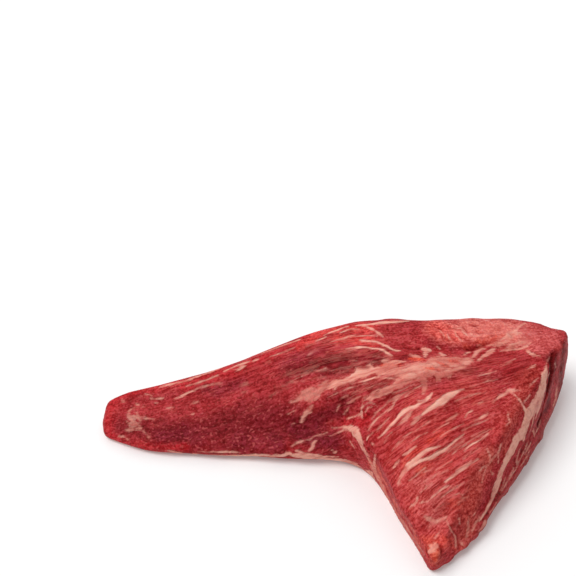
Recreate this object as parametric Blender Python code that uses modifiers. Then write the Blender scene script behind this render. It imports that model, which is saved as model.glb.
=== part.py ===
"""Raw beef tri-tip: one whole triangular muscle with a long tapering tail, lying flat on its fat side.

The piece is modelled in metres, +Z up, with the tail towards -X, the front corner towards -Y and the
cut end towards +X. Its origin is on the table under the middle of its bounding box. One solid is
lofted between the rim, where the top turns over into the sides, and the foot, where the sides meet
the table. Relief for the muscle bundles, the fat seams and the folds is then raised on it.
"""

import math

import bpy
import bmesh
import numpy as np
from mathutils import Matrix, Vector, noise

MM = 0.001

# How finely the piece is lofted, before one level of subdivision doubles each count
STEPS_ALONG = 40
STEPS_ACROSS = 18
CURVE_SAMPLES_PER_POINT = 40
PATH_STEPS = 24

# The rim in mm, each row a name, x, y, height, and lean: how far the side below it flares outwards.
# A negative lean is a side that is cut back under the rim.
FRONT_RIM = [
    ("tail tip, front", -142, 20, 9, 3),
    ("tail end, front", -119, 15, 11, 8),
    ("tail, front", -84, 13, 13, 10),
    ("tail root, front", -29, 10, 18, 12),
    ("hollow", 4, 4, 29, 9),
    ("hollow turn", 17, -9, 30, 1),
    ("flank, upper", 26, -28, 24, -2),
    ("flank, middle", 33, -46, 20, -2),
    ("flank, lower", 43, -66, 19, -1),
    ("front corner", 52, -83, 15, 1),
]
CUT_END_RIM = [
    ("front corner", 52, -83, 15, 1),
    ("front knob", 60, -70, 24, 6),
    ("corner facet", 67, -53, 32, 15),
    ("cut end, low", 76, -40, 40, 15),
    ("cut end, middle", 96, -14, 49, 14),
    ("cut end, high", 120, 21, 53, 11),
    ("thick corner, front", 138, 48, 51, 5),
    ("thick corner", 146, 66, 47, 2),
]
BACK_RIM = [
    ("tail tip, back", -142, 38, 13, 3),
    ("tail end, back", -112, 44, 21, 5),
    ("tail, back", -84, 49, 27, 6),
    ("tail root, back", -46, 60, 36, 6),
    ("shoulder", 1, 73, 47, 7),
    ("hump", 45, 74, 51, 8),
    ("back", 97, 77, 49, 7),
    ("back, thick end", 131, 75, 47, 5),
    ("thick corner", 146, 66, 47, 2),
]
TAIL_TIP_RIM = [
    ("tail tip, front", -142, 20, 9, 3),
    ("tail tip", -143, 29, 12, 3),
    ("tail tip, back", -142, 38, 13, 3),
]

# Heights of the crown in mm, inside the rim. A stiffer crown follows them more loosely.
CROWN_STIFFNESS = 60.0
CROWN = [
    ("tail tip", -126, 29, 17),
    ("tail slope", -84, 24, 22),
    ("tail crest", -84, 41, 28),
    ("tail root slope", -45, 24, 28),
    ("tail root crest", -37, 45, 40),
    ("shoulder slope", -8, 22, 41),
    ("shoulder crest", 8, 45, 50),
    ("fat seam, west", 20, 14, 47),
    ("fat seam, east", 56, 20, 58),
    ("valley behind the seam", 66, 44, 55),
    ("plateau", 100, 50, 54),
    ("thick end", 120, 44, 53),
    ("face, top right", 94, 12, 55),
    ("face, upper", 66, -6, 53),
    ("face, middle", 57, -28, 45),
    ("face, left", 38, -28, 38),
    ("face, lower", 52, -50, 36),
]

# The sides: rows of how far down from the rim, as a share of the height there, what share of the
# lean, and how far tucked in at the foot (mm). The cut end has a thin lower muscle below a groove.
PLAIN_SIDE = [
    (0.14, 0.40, 0.0),
    (0.32, 0.78, 0.0),
    (0.50, 0.98, 0.0),
    (0.70, 1.00, 0.0),
    (0.88, 0.88, 1.1),
    (1.10, 0.40, 4.0),
]
CUT_END_SIDE = [
    (0.15, 0.28, 0.0),
    (0.38, 0.66, 0.0),
    (0.52, 0.48, 0.0),
    (0.66, 0.98, 0.0),
    (0.86, 1.02, 1.1),
    (1.10, 0.75, 4.0),
]
CUT_END_BLEND_PASSES = 3
RIM_CREASE = 0.15
CUT_END_CREASE = 0.55
UNDERSIDE_DEPTH = 5.0

# Muscle bundles: ridges that follow the grain, on the faces that look up, and lumps all over. Sizes
# are in mm, and the grain's directions in degrees from +X, turning between two places along X.
BUNDLE_SPACING = 8.0
BUNDLE_LENGTH = 60.0
BUNDLE_DEPTH = 30.0
BUNDLE_HEIGHT = 1.3
LUMP_SIZE = 32.0
LUMP_HEIGHT = 1.3
LUMP_OFFSET = 7.3
TAIL_GRAIN = 12.0
BODY_GRAIN = 40.0
GRAIN_TURNS_FROM = -45.0
GRAIN_TURNS_TO = 60.0
# Relief for the top fades in over this range of the normal's height
TOP_STARTS_AT = 0.15
TOP_IS_FULL_AT = 0.65

# Raised seams and grooves on the top in mm: name, height, half width, and the path in plan
FOLDS = [
    ("long fat seam", 2.2, 5.5, [(-24, 14), (0, 19), (24, 20), (46, 25), (70, 34)]),
    ("fat seam, lower branch", 1.5, 3.5, [(14, 8), (34, 14), (56, 24)]),
    ("groove above the seam", -1.6, 4.0, [(-30, 26), (0, 31), (28, 32), (44, 38)]),
    ("groove under the seam", -2.4, 4.0, [(-16, 4), (8, 6), (30, 7), (58, 14), (84, 24)]),
    ("step before the plateau", -2.4, 4.5, [(14, 52), (40, 47), (70, 44), (98, 42), (128, 50)]),
    ("plateau brow", 1.6, 5.5, [(30, 63), (62, 57), (96, 54), (124, 60)]),
    ("tail brow", 1.5, 4.0, [(-126, 37), (-84, 43), (-44, 54), (-6, 65)]),
    ("tail furrow", -1.3, 3.5, [(-120, 31), (-84, 36), (-44, 46), (-8, 55)]),
    ("pocket at the hollow", -4.5, 6.5, [(-24, 9), (-6, 8), (6, 4)]),
    ("flank lip", 1.6, 3.5, [(6, 6), (16, -5), (23, -22), (31, -44)]),
    ("face ridge, upper", 1.4, 4.5, [(28, -10), (50, 0), (78, 14)]),
    ("face groove, upper", -1.4, 3.5, [(34, -20), (58, -8), (86, 8)]),
    ("face ridge, middle", 1.5, 4.5, [(36, -34), (60, -20), (84, -4)]),
    ("face groove, lower", -1.4, 3.5, [(42, -46), (60, -32), (76, -22)]),
    ("face ridge, lower", 1.2, 4.5, [(44, -58), (58, -46), (68, -38)]),
    ("front knob fold", -2.4, 3.0, [(44, -66), (54, -65), (62, -60)]),
]

MEAT_RED = (0.42, 0.035, 0.035, 1.0)


def clear_scene():
    for obj in list(bpy.data.objects):
        bpy.data.objects.remove(obj, do_unlink=True)


def smooth_line(points, count):
    """The smooth curve through the points, as count + 1 evenly spaced points. Any values after x and
    y, such as height and lean, are carried along it."""
    p = np.array(points, float)
    step = np.linalg.norm(np.diff(p[:, :2], axis=0), axis=1)
    along = np.concatenate([[0.0], np.cumsum(step)])
    slope = np.gradient(p, along, axis=0)
    t = np.linspace(0.0, along[-1], CURVE_SAMPLES_PER_POINT * len(p))
    i = np.clip(np.searchsorted(along, t, side="right") - 1, 0, len(p) - 2)
    h = (along[i + 1] - along[i])[:, None]
    s = (t[:, None] - along[i][:, None]) / h
    fine = (
        (2 * s**3 - 3 * s**2 + 1) * p[i]
        + (s**3 - 2 * s**2 + s) * h * slope[i]
        + (3 * s**2 - 2 * s**3) * p[i + 1]
        + (s**3 - s**2) * h * slope[i + 1]
    )
    length = np.concatenate([[0.0], np.cumsum(np.linalg.norm(np.diff(fine[:, :2], axis=0), axis=1))])
    even = np.linspace(0.0, length[-1], count + 1)
    return np.stack([np.interp(even, length, fine[:, k]) for k in range(p.shape[1])], axis=1)


def rim_side(rows, count):
    return smooth_line([row[1:] for row in rows], count)


def patch(front, back, tip, end):
    """The grid of plan points that fills the four sides of the rim: a Coons patch."""
    u = np.linspace(0.0, 1.0, len(front))[:, None, None]
    v = np.linspace(0.0, 1.0, len(tip))[None, :, None]
    lengthwise = (1 - v) * front[:, None, :2] + v * back[:, None, :2]
    crosswise = (1 - u) * tip[None, :, :2] + u * end[None, :, :2]
    corners = (
        (1 - u) * (1 - v) * front[0, :2]
        + u * (1 - v) * front[-1, :2]
        + (1 - u) * v * back[0, :2]
        + u * v * back[-1, :2]
    )
    return lengthwise + crosswise - corners


def crown_surface():
    """A thin plate laid through the crown's heights and the rim's: returns height at plan points."""
    known = [row[1:4] for row in CROWN]
    for side in (FRONT_RIM, CUT_END_RIM, BACK_RIM, TAIL_TIP_RIM):
        known += [row[1:4] for row in side]
    known = np.unique(np.array(known, float), axis=0)

    def bend(a, b):
        d2 = ((a[:, None, :] - b[None, :, :]) ** 2).sum(axis=2)
        return 0.5 * d2 * np.log(d2 + 1e-9)

    def plane(a):
        return np.column_stack([np.ones(len(a)), a])

    n = len(known)
    system = np.zeros((n + 3, n + 3))
    system[:n, :n] = bend(known[:, :2], known[:, :2]) + CROWN_STIFFNESS * np.eye(n)
    system[:n, n:] = plane(known[:, :2])
    system[n:, :n] = system[:n, n:].T
    weights = np.linalg.solve(system, np.concatenate([known[:, 2], np.zeros(3)]))

    def height(xy):
        return bend(xy, known[:, :2]) @ weights[:n] + plane(xy) @ weights[n:]

    return height


def outward(ring):
    """Unit normals in plan, pointing out of a closed ring that runs anticlockwise."""
    along = np.roll(ring, -1, axis=0) - np.roll(ring, 1, axis=0)
    normal = np.column_stack([along[:, 1], -along[:, 0]])
    normal /= np.linalg.norm(normal, axis=1)[:, None]
    normal = (np.roll(normal, 1, axis=0) + 2 * normal + np.roll(normal, -1, axis=0)) / 4
    return normal / np.linalg.norm(normal, axis=1)[:, None]


def loft_cage():
    """The coarse cage: the top grid, the rows of the sides, and a flat underside below the table."""
    front = rim_side(FRONT_RIM, STEPS_ALONG)
    back = rim_side(BACK_RIM, STEPS_ALONG)
    tip = rim_side(TAIL_TIP_RIM, STEPS_ACROSS)
    end = rim_side(CUT_END_RIM, STEPS_ACROSS)
    grid = patch(front, back, tip, end)
    height = crown_surface()

    bm = bmesh.new()
    top = [
        [bm.verts.new((x * MM, y * MM, z * MM)) for (x, y), z in zip(line, height(line))]
        for line in grid
    ]
    for i in range(STEPS_ALONG):
        for j in range(STEPS_ACROSS):
            bm.faces.new((top[i][j], top[i + 1][j], top[i + 1][j + 1], top[i][j + 1]))

    # Round the rim once, anticlockwise: front, cut end, back and tail tip
    rim = [top[i][0] for i in range(STEPS_ALONG)]
    rim += [top[-1][j] for j in range(STEPS_ACROSS)]
    rim += [top[i][-1] for i in range(STEPS_ALONG, 0, -1)]
    rim += [top[0][j] for j in range(STEPS_ACROSS, 0, -1)]
    lean = np.concatenate([front[:-1, 3], end[:-1, 3], back[:0:-1, 3], tip[:0:-1, 3]])
    cut = np.zeros(len(rim))
    cut[STEPS_ALONG : STEPS_ALONG + STEPS_ACROSS] = 1.0
    for _ in range(CUT_END_BLEND_PASSES):
        cut = (np.roll(cut, 1) + 2 * cut + np.roll(cut, -1)) / 4

    ring = np.array([v.co[:] for v in rim]) / MM
    normal = outward(ring[:, :2])
    above = rim
    for plain, cut_end in zip(PLAIN_SIDE, CUT_END_SIDE):
        drop, share, tuck = (p + (c - p) * cut for p, c in zip(plain, cut_end))
        xy = ring[:, :2] + normal * (lean * share - tuck)[:, None]
        z = ring[:, 2] * (1 - drop)
        if plain is PLAIN_SIDE[-1]:
            z[:] = -UNDERSIDE_DEPTH
        row = [bm.verts.new((x * MM, y * MM, h * MM)) for (x, y), h in zip(xy, z)]
        for k in range(len(rim)):
            n = (k + 1) % len(rim)
            bm.faces.new((above[k], row[k], row[n], above[n]))
        above = row
    bm.faces.new(above[::-1])

    crease = bm.edges.layers.float.new("crease_edge")
    for k in range(len(rim)):
        edge = bm.edges.get((rim[k], rim[(k + 1) % len(rim)]))
        edge[crease] = RIM_CREASE + (CUT_END_CREASE - RIM_CREASE) * cut[k]
    mesh = bpy.data.meshes.new("cage")
    bm.to_mesh(mesh)
    bm.free()
    return mesh


def grain_angle(x):
    """Direction of the muscle fibres in plan: along the tail, then fanning across the body."""
    t = np.clip((x - GRAIN_TURNS_FROM) / (GRAIN_TURNS_TO - GRAIN_TURNS_FROM), 0.0, 1.0)
    return math.radians(TAIL_GRAIN) + t * t * (3 - 2 * t) * math.radians(BODY_GRAIN - TAIL_GRAIN)


def distance_to_path(xy, path):
    """Distance in plan from each point to a path, and how far along the path the nearest place is."""
    line = smooth_line(path, PATH_STEPS)
    gap = np.linalg.norm(xy[:, None, :] - line[None, :, :], axis=2)
    return gap.min(axis=1), gap.argmin(axis=1) / (len(line) - 1)


def fold_relief(xy):
    relief = np.zeros(len(xy))
    for _, rise, half_width, path in FOLDS:
        gap, along = distance_to_path(xy, path)
        taper = np.sqrt(np.clip(np.sin(math.pi * np.clip(along, 0.04, 0.96)), 0.0, 1.0))
        relief += rise * taper * np.exp(-((gap / half_width) ** 2))
    return relief


def bundle_relief(points, facing_up):
    """Uneven ridges along the grain, and broad lumps across it."""
    relief = np.zeros(len(points))
    for k, (x, y, z) in enumerate(points):
        a = grain_angle(x)
        along = x * math.cos(a) + y * math.sin(a)
        across = y * math.cos(a) - x * math.sin(a)
        ridge = noise.noise(
            Vector((along / BUNDLE_LENGTH, across / BUNDLE_SPACING, z / BUNDLE_DEPTH))
        )
        lump = noise.noise(Vector((x, y, z)) / LUMP_SIZE + Vector((0.0, 0.0, LUMP_OFFSET)))
        relief[k] = facing_up[k] * BUNDLE_HEIGHT * ridge + LUMP_HEIGHT * lump
    return relief


def raise_relief(mesh):
    points = np.array([v.co[:] for v in mesh.vertices]) / MM
    normals = np.array([v.normal[:] for v in mesh.vertices])
    facing_up = (normals[:, 2] - TOP_STARTS_AT) / (TOP_IS_FULL_AT - TOP_STARTS_AT)
    facing_up = np.clip(facing_up, 0.0, 1.0)
    relief = bundle_relief(points, facing_up) + facing_up * fold_relief(points[:, :2])
    relief[points[:, 2] < 0.0] = 0.0
    points += normals * relief[:, None]
    mesh.vertices.foreach_set("co", (points * MM).astype(np.float32).ravel())
    mesh.update()


def press_flat(mesh):
    """Cuts the piece off at the table, so that it rests on a flat face as soft meat does."""
    bm = bmesh.new()
    bm.from_mesh(mesh)
    everything = bm.verts[:] + bm.edges[:] + bm.faces[:]
    bmesh.ops.bisect_plane(
        bm, geom=everything, dist=1e-6, plane_co=(0, 0, 0), plane_no=(0, 0, -1), clear_outer=True
    )
    open_edges = [edge for edge in bm.edges if edge.is_boundary]
    bmesh.ops.contextual_create(bm, geom=open_edges)
    bmesh.ops.recalc_face_normals(bm, faces=bm.faces[:])
    bm.to_mesh(mesh)
    bm.free()


def centre_in_plan(mesh):
    """Moves the mesh so that the origin is under the middle of its bounding box."""
    points = np.array([v.co[:] for v in mesh.vertices])
    middle = (points.min(axis=0) + points.max(axis=0)) / 2
    mesh.transform(Matrix.Translation((-middle[0], -middle[1], 0.0)))


def meat_material():
    material = bpy.data.materials.new("raw beef")
    material.use_nodes = True
    shader = material.node_tree.nodes["Principled BSDF"]
    shader.inputs["Base Color"].default_value = MEAT_RED
    shader.inputs["Roughness"].default_value = 0.42
    shader.inputs["Metallic"].default_value = 0.0
    return material


def make_tri_tip(collection):
    cage = bpy.data.objects.new("cage", loft_cage())
    collection.objects.link(cage)
    rounding = cage.modifiers.new("rounding", "SUBSURF")
    rounding.levels = 1
    rounding.render_levels = 1
    graph = bpy.context.evaluated_depsgraph_get()
    mesh = bpy.data.meshes.new_from_object(cage.evaluated_get(graph))
    bpy.data.objects.remove(cage)
    raise_relief(mesh)
    press_flat(mesh)
    centre_in_plan(mesh)
    mesh.name = "tri_tip"
    mesh.materials.clear()
    mesh.materials.append(meat_material())
    mesh.shade_smooth()
    tri_tip = bpy.data.objects.new("tri_tip", mesh)
    collection.objects.link(tri_tip)
    return tri_tip


def main():
    clear_scene()
    collection = bpy.data.collections.new("raw_beef_tri_tip")
    bpy.context.scene.collection.children.link(collection)
    make_tri_tip(collection)


main()
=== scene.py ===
"""The looks of the raw beef tri-tip: its fine surface, its fat and colours, the light and the camera.

Lengths are in metres, but those of strokes, grain, relief and noise are in millimetres (mm). Places
read from the picture are in its pixels, x to the right and y down, and are laid on the meat by a ray.
"""
import math

import bpy
import bmesh
import numpy as np
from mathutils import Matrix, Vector, noise
from mathutils.bvhtree import BVHTree


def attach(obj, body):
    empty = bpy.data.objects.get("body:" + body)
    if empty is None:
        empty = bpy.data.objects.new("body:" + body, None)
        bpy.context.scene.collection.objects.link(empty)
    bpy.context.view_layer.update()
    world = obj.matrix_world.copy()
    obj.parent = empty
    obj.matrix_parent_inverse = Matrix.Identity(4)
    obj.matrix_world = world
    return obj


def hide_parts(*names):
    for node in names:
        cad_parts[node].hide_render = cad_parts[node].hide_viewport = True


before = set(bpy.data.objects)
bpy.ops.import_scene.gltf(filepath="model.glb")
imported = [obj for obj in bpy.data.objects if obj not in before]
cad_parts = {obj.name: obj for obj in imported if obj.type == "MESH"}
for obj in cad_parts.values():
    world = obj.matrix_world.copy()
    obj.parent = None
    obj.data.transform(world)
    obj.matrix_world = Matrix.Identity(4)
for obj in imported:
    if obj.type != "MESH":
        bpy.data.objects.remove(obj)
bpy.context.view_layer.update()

# The camera. A long lens looks down on the table from the front, and the meat lies low and to the
# right in its square picture. Rays through the picture's pixels place what is seen on the meat.
PICTURE = 576
LENS = 85.0
SENSOR = 36.0
CAMERA_ELEVATION = math.radians(44)
CAMERA_DISTANCE = 0.946
CAMERA_TARGET = Vector((-0.0303, 0.1531, 0.0))

looking = Vector((0.0, math.cos(CAMERA_ELEVATION), -math.sin(CAMERA_ELEVATION)))
camera_data = bpy.data.cameras.new("camera")
camera_data.lens = LENS
camera_data.sensor_width = SENSOR
camera = bpy.data.objects.new("camera", camera_data)
camera.location = CAMERA_TARGET - CAMERA_DISTANCE * looking
camera.rotation_mode = "QUATERNION"
camera.rotation_quaternion = looking.to_track_quat("-Z", "Y")
bpy.context.scene.collection.objects.link(camera)
bpy.context.scene.camera = camera

PIXELS_PER_UNIT = PICTURE * LENS / SENSOR
picture_right = Vector((1.0, 0.0, 0.0))
picture_up = picture_right.cross(looking)


def ray_through(x, y):
    """Unit direction of the camera's ray through a pixel."""
    right = (x - PICTURE / 2) / PIXELS_PER_UNIT
    up = (PICTURE / 2 - y) / PIXELS_PER_UNIT
    return (looking + right * picture_right + up * picture_up).normalized()


# The muscle. One trimmed piece of raw beef: the CAD solid is remeshed finely, its facets are smoothed
# away, and its flat underside, which needs no detail, is left coarse.
VOXEL = 0.00087
SMOOTHING_PASSES = 14
SMOOTHING_FACTOR = 0.6
TABLE_BAND = 0.0006
FACES_DOWN = -0.9
SAME_CORNER = 1e-6

meat = bpy.data.objects.new("raw_tri_tip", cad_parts["tri_tip"].data.copy())
bpy.context.scene.collection.objects.link(meat)


def weld(mesh):
    """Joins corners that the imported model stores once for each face."""
    bm = bmesh.new()
    bm.from_mesh(mesh)
    bmesh.ops.remove_doubles(bm, verts=bm.verts, dist=SAME_CORNER)
    bm.to_mesh(mesh)
    bm.free()


def applied(obj):
    """The object's mesh with its modifiers applied, put in place of its own."""
    graph = bpy.context.evaluated_depsgraph_get()
    mesh = bpy.data.meshes.new_from_object(obj.evaluated_get(graph))
    obj.modifiers.clear()
    obj.data = mesh
    return mesh


def at_vertices(mesh, kind):
    """A row of three numbers for each vertex: its place, "co", or the way it faces, "normal"."""
    found = np.empty(len(mesh.vertices) * 3, np.float32)
    mesh.vertices.foreach_get(kind, found)
    return found.reshape(-1, 3).astype(float)


weld(meat.data)
remesh = meat.modifiers.new("fine skin", "REMESH")
remesh.mode = "VOXEL"
remesh.voxel_size = VOXEL
applied(meat)

above_table = meat.vertex_groups.new(name="above the table")
heights = at_vertices(meat.data, "co")[:, 2]
above_table.add([int(i) for i in np.nonzero(heights > TABLE_BAND)[0]], 1.0, "REPLACE")
smooth = meat.modifiers.new("soft", "SMOOTH")
smooth.factor = SMOOTHING_FACTOR
smooth.iterations = SMOOTHING_PASSES
smooth.vertex_group = above_table.name
applied(meat)
meat.vertex_groups.clear()


def merge_underside(mesh):
    """Makes one face of the flat underside."""
    bm = bmesh.new()
    bm.from_mesh(mesh)
    for vertex in bm.verts:
        if vertex.co.z < TABLE_BAND and vertex.normal.z < FACES_DOWN:
            vertex.co.z = 0.0
    under = [f for f in bm.faces if all(v.co.z == 0.0 for v in f.verts)]
    bmesh.ops.dissolve_faces(bm, faces=under, use_verts=True)
    bmesh.ops.triangulate(bm, faces=[f for f in bm.faces if len(f.verts) > 4])
    bm.to_mesh(mesh)
    bm.free()


merge_underside(meat.data)
meat.data.shade_smooth()

# Strokes. What the picture shows is laid on the meat as strokes: rows of picture x, y and half width.
# A ray carries each to the surface, so a stroke lies on the meat with its true width, seen from anywhere.
MM = 0.001
MM_PER_PIXEL = 1000 * CAMERA_DISTANCE / PIXELS_PER_UNIT
STROKE_STEP = 1.5
WIDEST = 1.6
STROKE_REACH = 8.0
OUTSIDE = -20.0
AT_ONCE = 400000
TINY = 1e-9

bm = bmesh.new()
bm.from_mesh(meat.data)
surface = BVHTree.FromBMesh(bm)
bm.free()
skin = at_vertices(meat.data, "co") / MM

# Metres from the camera at which a ray that misses the meat looks for the place nearest to it.
NEAR_THE_MEAT = np.linspace(0.80, 1.10, 31)


def on_meat(x, y):
    """The place in mm where the ray through a pixel meets the meat, or passes nearest to it."""
    ray = ray_through(float(x), float(y))
    hit = surface.ray_cast(camera.location, ray)[0]
    if hit is None:
        near = []
        for reach in NEAR_THE_MEAT:
            place, _, _, gap = surface.find_nearest(camera.location + float(reach) * ray)
            near.append((gap, place))
        hit = min(near, key=lambda found: found[0])[1]
    return np.array(hit) / MM


def smooth_path(rows):
    """A smooth curve through rows of numbers, with a point every stroke step."""
    p = np.array(rows, float)
    step = np.linalg.norm(np.diff(p[:, :2], axis=0), axis=1)
    along = np.concatenate([[0.0], np.cumsum(step)])
    slope = np.gradient(p, along, axis=0)
    t = np.linspace(0.0, along[-1], max(2, int(along[-1] / STROKE_STEP) + 1))
    i = np.clip(np.searchsorted(along, t, side="right") - 1, 0, len(p) - 2)
    h = (along[i + 1] - along[i])[:, None]
    s = (t[:, None] - along[i][:, None]) / h
    return (
        (2 * s**3 - 3 * s**2 + 1) * p[i]
        + (s**3 - 2 * s**2 + s) * h * slope[i]
        + (3 * s**2 - 2 * s**3) * p[i + 1]
        + (s**3 - s**2) * h * slope[i + 1]
    )


def laid(rows):
    """A stroke's places and half widths in mm on the meat, bounded where the surface turns away."""
    path = smooth_path(rows)
    centre = np.array([on_meat(x, y) for x, y, _ in path])
    heading = np.gradient(path[:, :2], axis=0)
    heading /= np.linalg.norm(heading, axis=1)[:, None] + TINY
    half = []
    for (x, y, w), (dx, dy) in zip(path, heading):
        one = on_meat(x - w * dy, y + w * dx)
        other = on_meat(x + w * dy, y - w * dx)
        half.append(min(np.linalg.norm(one - other) / 2, WIDEST * w * MM_PER_PIXEL))
    return centre, np.array(half)


OCTAVE_FADES = 0.5
OCTAVE_FINER = 2.0


def fractal(points, size, octaves):
    """Noise at each point, with grains of the given size in mm."""
    return np.array([noise.fractal(Vector(p / size), OCTAVE_FADES, OCTAVE_FINER, octaves) for p in points])


def stroke_field(rows, ragged=0.0, thinnest=0.0):
    """How far inside a stroke each vertex is, in mm, and its cover: thinner than the thinnest, it fades."""
    centre, half = laid(rows)
    reach = max(half.max(), thinnest) * (1 + ragged) + STROKE_REACH
    near = np.all((skin > centre.min(axis=0) - reach) & (skin < centre.max(axis=0) + reach), axis=1)
    depth = np.full(len(skin), OUTSIDE)
    cover = np.zeros(len(skin))
    index = np.nonzero(near)[0]
    start, run = centre[:-1], np.diff(centre, axis=0)
    length2 = np.maximum((run**2).sum(axis=1), TINY)
    for part in np.array_split(index, max(1, len(index) * len(start) // AT_ONCE)):
        away = skin[part][:, None, :] - start[None]
        t = np.clip((away * run[None]).sum(axis=2) / length2, 0.0, 1.0)
        gap = np.linalg.norm(away - t[..., None] * run[None], axis=2)
        width = half[:-1] + t * np.diff(half)
        inside = np.maximum(width, thinnest) * (1 + ragged * unevenness[part][:, None]) - gap
        best = inside.argmax(axis=1)
        row = np.arange(len(part))
        depth[part] = inside[row, best]
        cover[part] = np.clip(width[row, best] / max(thinnest, TINY), 0.0, 1.0)
    return depth, cover


def depth_in(rows):
    return stroke_field(rows)[0]


def deepest(strokes):
    """How far inside any of the strokes each vertex is, in mm."""
    return np.max([depth_in(stroke) for stroke in strokes], axis=0)


UNEVEN_SIZE = 4.5
unevenness = fractal(skin, UNEVEN_SIZE, octaves=3)


def soft_step(low, high, value):
    """Nothing up to the low value, all from the high one, and smooth between."""
    t = np.clip((value - low) / (high - low), 0.0, 1.0)
    return t * t * (3 - 2 * t)


# Grain. Muscle fibres run along the tail, bend over the shoulder and fan out across the broad face.
# Rows of picture x, y and the fibres' angle in the picture, in degrees anticlockwise from the right.
GRAIN = [
    (120, 420, 8), (160, 398, 12), (185, 396, 20), (240, 368, 22), (180, 435, 8), (240, 430, 12),
    (300, 377, 22), (280, 392, 24), (310, 438, 22), (340, 432, 14), (330, 332, 16), (345, 350, 6),
    (370, 342, -6), (390, 353, -20), (320, 389, 24), (350, 379, 16), (378, 375, 8), (385, 391, 22),
    (420, 366, 12), (455, 362, 8), (395, 405, 45), (388, 430, 46), (418, 405, 32), (445, 400, 34),
    (403, 475, 62), (390, 478, 66), (418, 457, 42), (440, 450, 32), (462, 468, 34), (480, 440, 34),
    (426, 487, 38), (445, 487, 32), (412, 505, 48), (434, 520, 40), (436, 555, 58), (480, 385, 18),
    (505, 364, 30), (500, 398, 18), (482, 418, 28), (530, 368, 24), (500, 330, 8), (550, 340, 10),
    (415, 340, 6), (460, 335, -20),
]

# Sums of powers of x and y, up to the degree, are fitted to the rows at places spread over the top, so
# that one sum grows along the fibres, one across them, and one follows the height of the top.
GRAIN_LEAN = 3
GRAIN_REACH = 14.0
GRAIN_SAMPLES = 900
TOP_FACES_UP = 0.55
DEGREE = 6
SPREAD = 150.0
EVENNESS = 0.3
STEADINESS = 0.02
DEPTH_SHARE = 0.7


def powers(xy):
    """Each product of powers of x and y up to the degree, with its slopes along x and y."""
    x, y = xy[:, 0] / SPREAD, xy[:, 1] / SPREAD
    terms = [(i, j) for i in range(DEGREE + 1) for j in range(DEGREE + 1 - i)]
    value = np.column_stack([x**i * y**j for i, j in terms])
    along_x = np.column_stack([i * x ** max(i - 1, 0) * y**j for i, j in terms])
    along_y = np.column_stack([j * x**i * y ** max(j - 1, 0) for i, j in terms])
    return value, along_x / SPREAD, along_y / SPREAD


def fitted(rows, wanted):
    """Weights of the powers that give the wanted values in the rows, kept small where rows don't say."""
    steady = STEADINESS * np.eye(rows.shape[1])
    return np.linalg.lstsq(
        np.vstack([rows, steady]), np.concatenate([wanted, np.zeros(len(steady))]), rcond=None
    )[0]


def fibre_directions(xy):
    """The fibres' direction in plan at each place, blended from the nearest grain rows."""
    known, doubled = [], []
    for x, y, angle in GRAIN:
        dx = GRAIN_LEAN * math.cos(math.radians(angle))
        dy = GRAIN_LEAN * math.sin(math.radians(angle))
        run = on_meat(x + dx, y - dy) - on_meat(x - dx, y + dy)
        turn = 2 * math.atan2(run[1], run[0])
        known.append(on_meat(x, y)[:2])
        doubled.append((math.cos(turn), math.sin(turn)))
    gap2 = ((xy[:, None, :] - np.array(known)[None]) ** 2).sum(axis=2)
    weight = np.exp(-(gap2 - gap2.min(axis=1)[:, None]) / (2 * GRAIN_REACH**2))
    blend = weight @ np.array(doubled)
    turn = np.arctan2(blend[:, 1], blend[:, 0]) / 2
    return np.column_stack([np.cos(turn), np.sin(turn)])


def grain_places():
    """Coordinates in mm for each vertex: along the fibres, across them, and below the smooth top."""
    upward = np.nonzero(at_vertices(meat.data, "normal")[:, 2] > TOP_FACES_UP)[0]
    chosen = upward[:: max(1, len(upward) // GRAIN_SAMPLES)]
    value, along_x, along_y = powers(skin[chosen, :2])
    run = fibre_directions(skin[chosen, :2])
    fibre = along_x * run[:, :1] + along_y * run[:, 1:]
    cross = along_y * run[:, :1] - along_x * run[:, 1:]
    none, one = np.zeros(len(chosen)), np.ones(len(chosen))
    across = fitted(np.vstack([fibre, EVENNESS * cross]), np.concatenate([none, EVENNESS * one]))
    along = fitted(np.vstack([EVENNESS * fibre, cross]), np.concatenate([EVENNESS * one, none]))
    top = fitted(value, skin[chosen, 2])
    everywhere = powers(skin[:, :2])[0]
    below = DEPTH_SHARE * (skin[:, 2] - everywhere @ top)
    return np.column_stack([everywhere @ along, everywhere @ across, below])


grain = grain_places()

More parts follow.
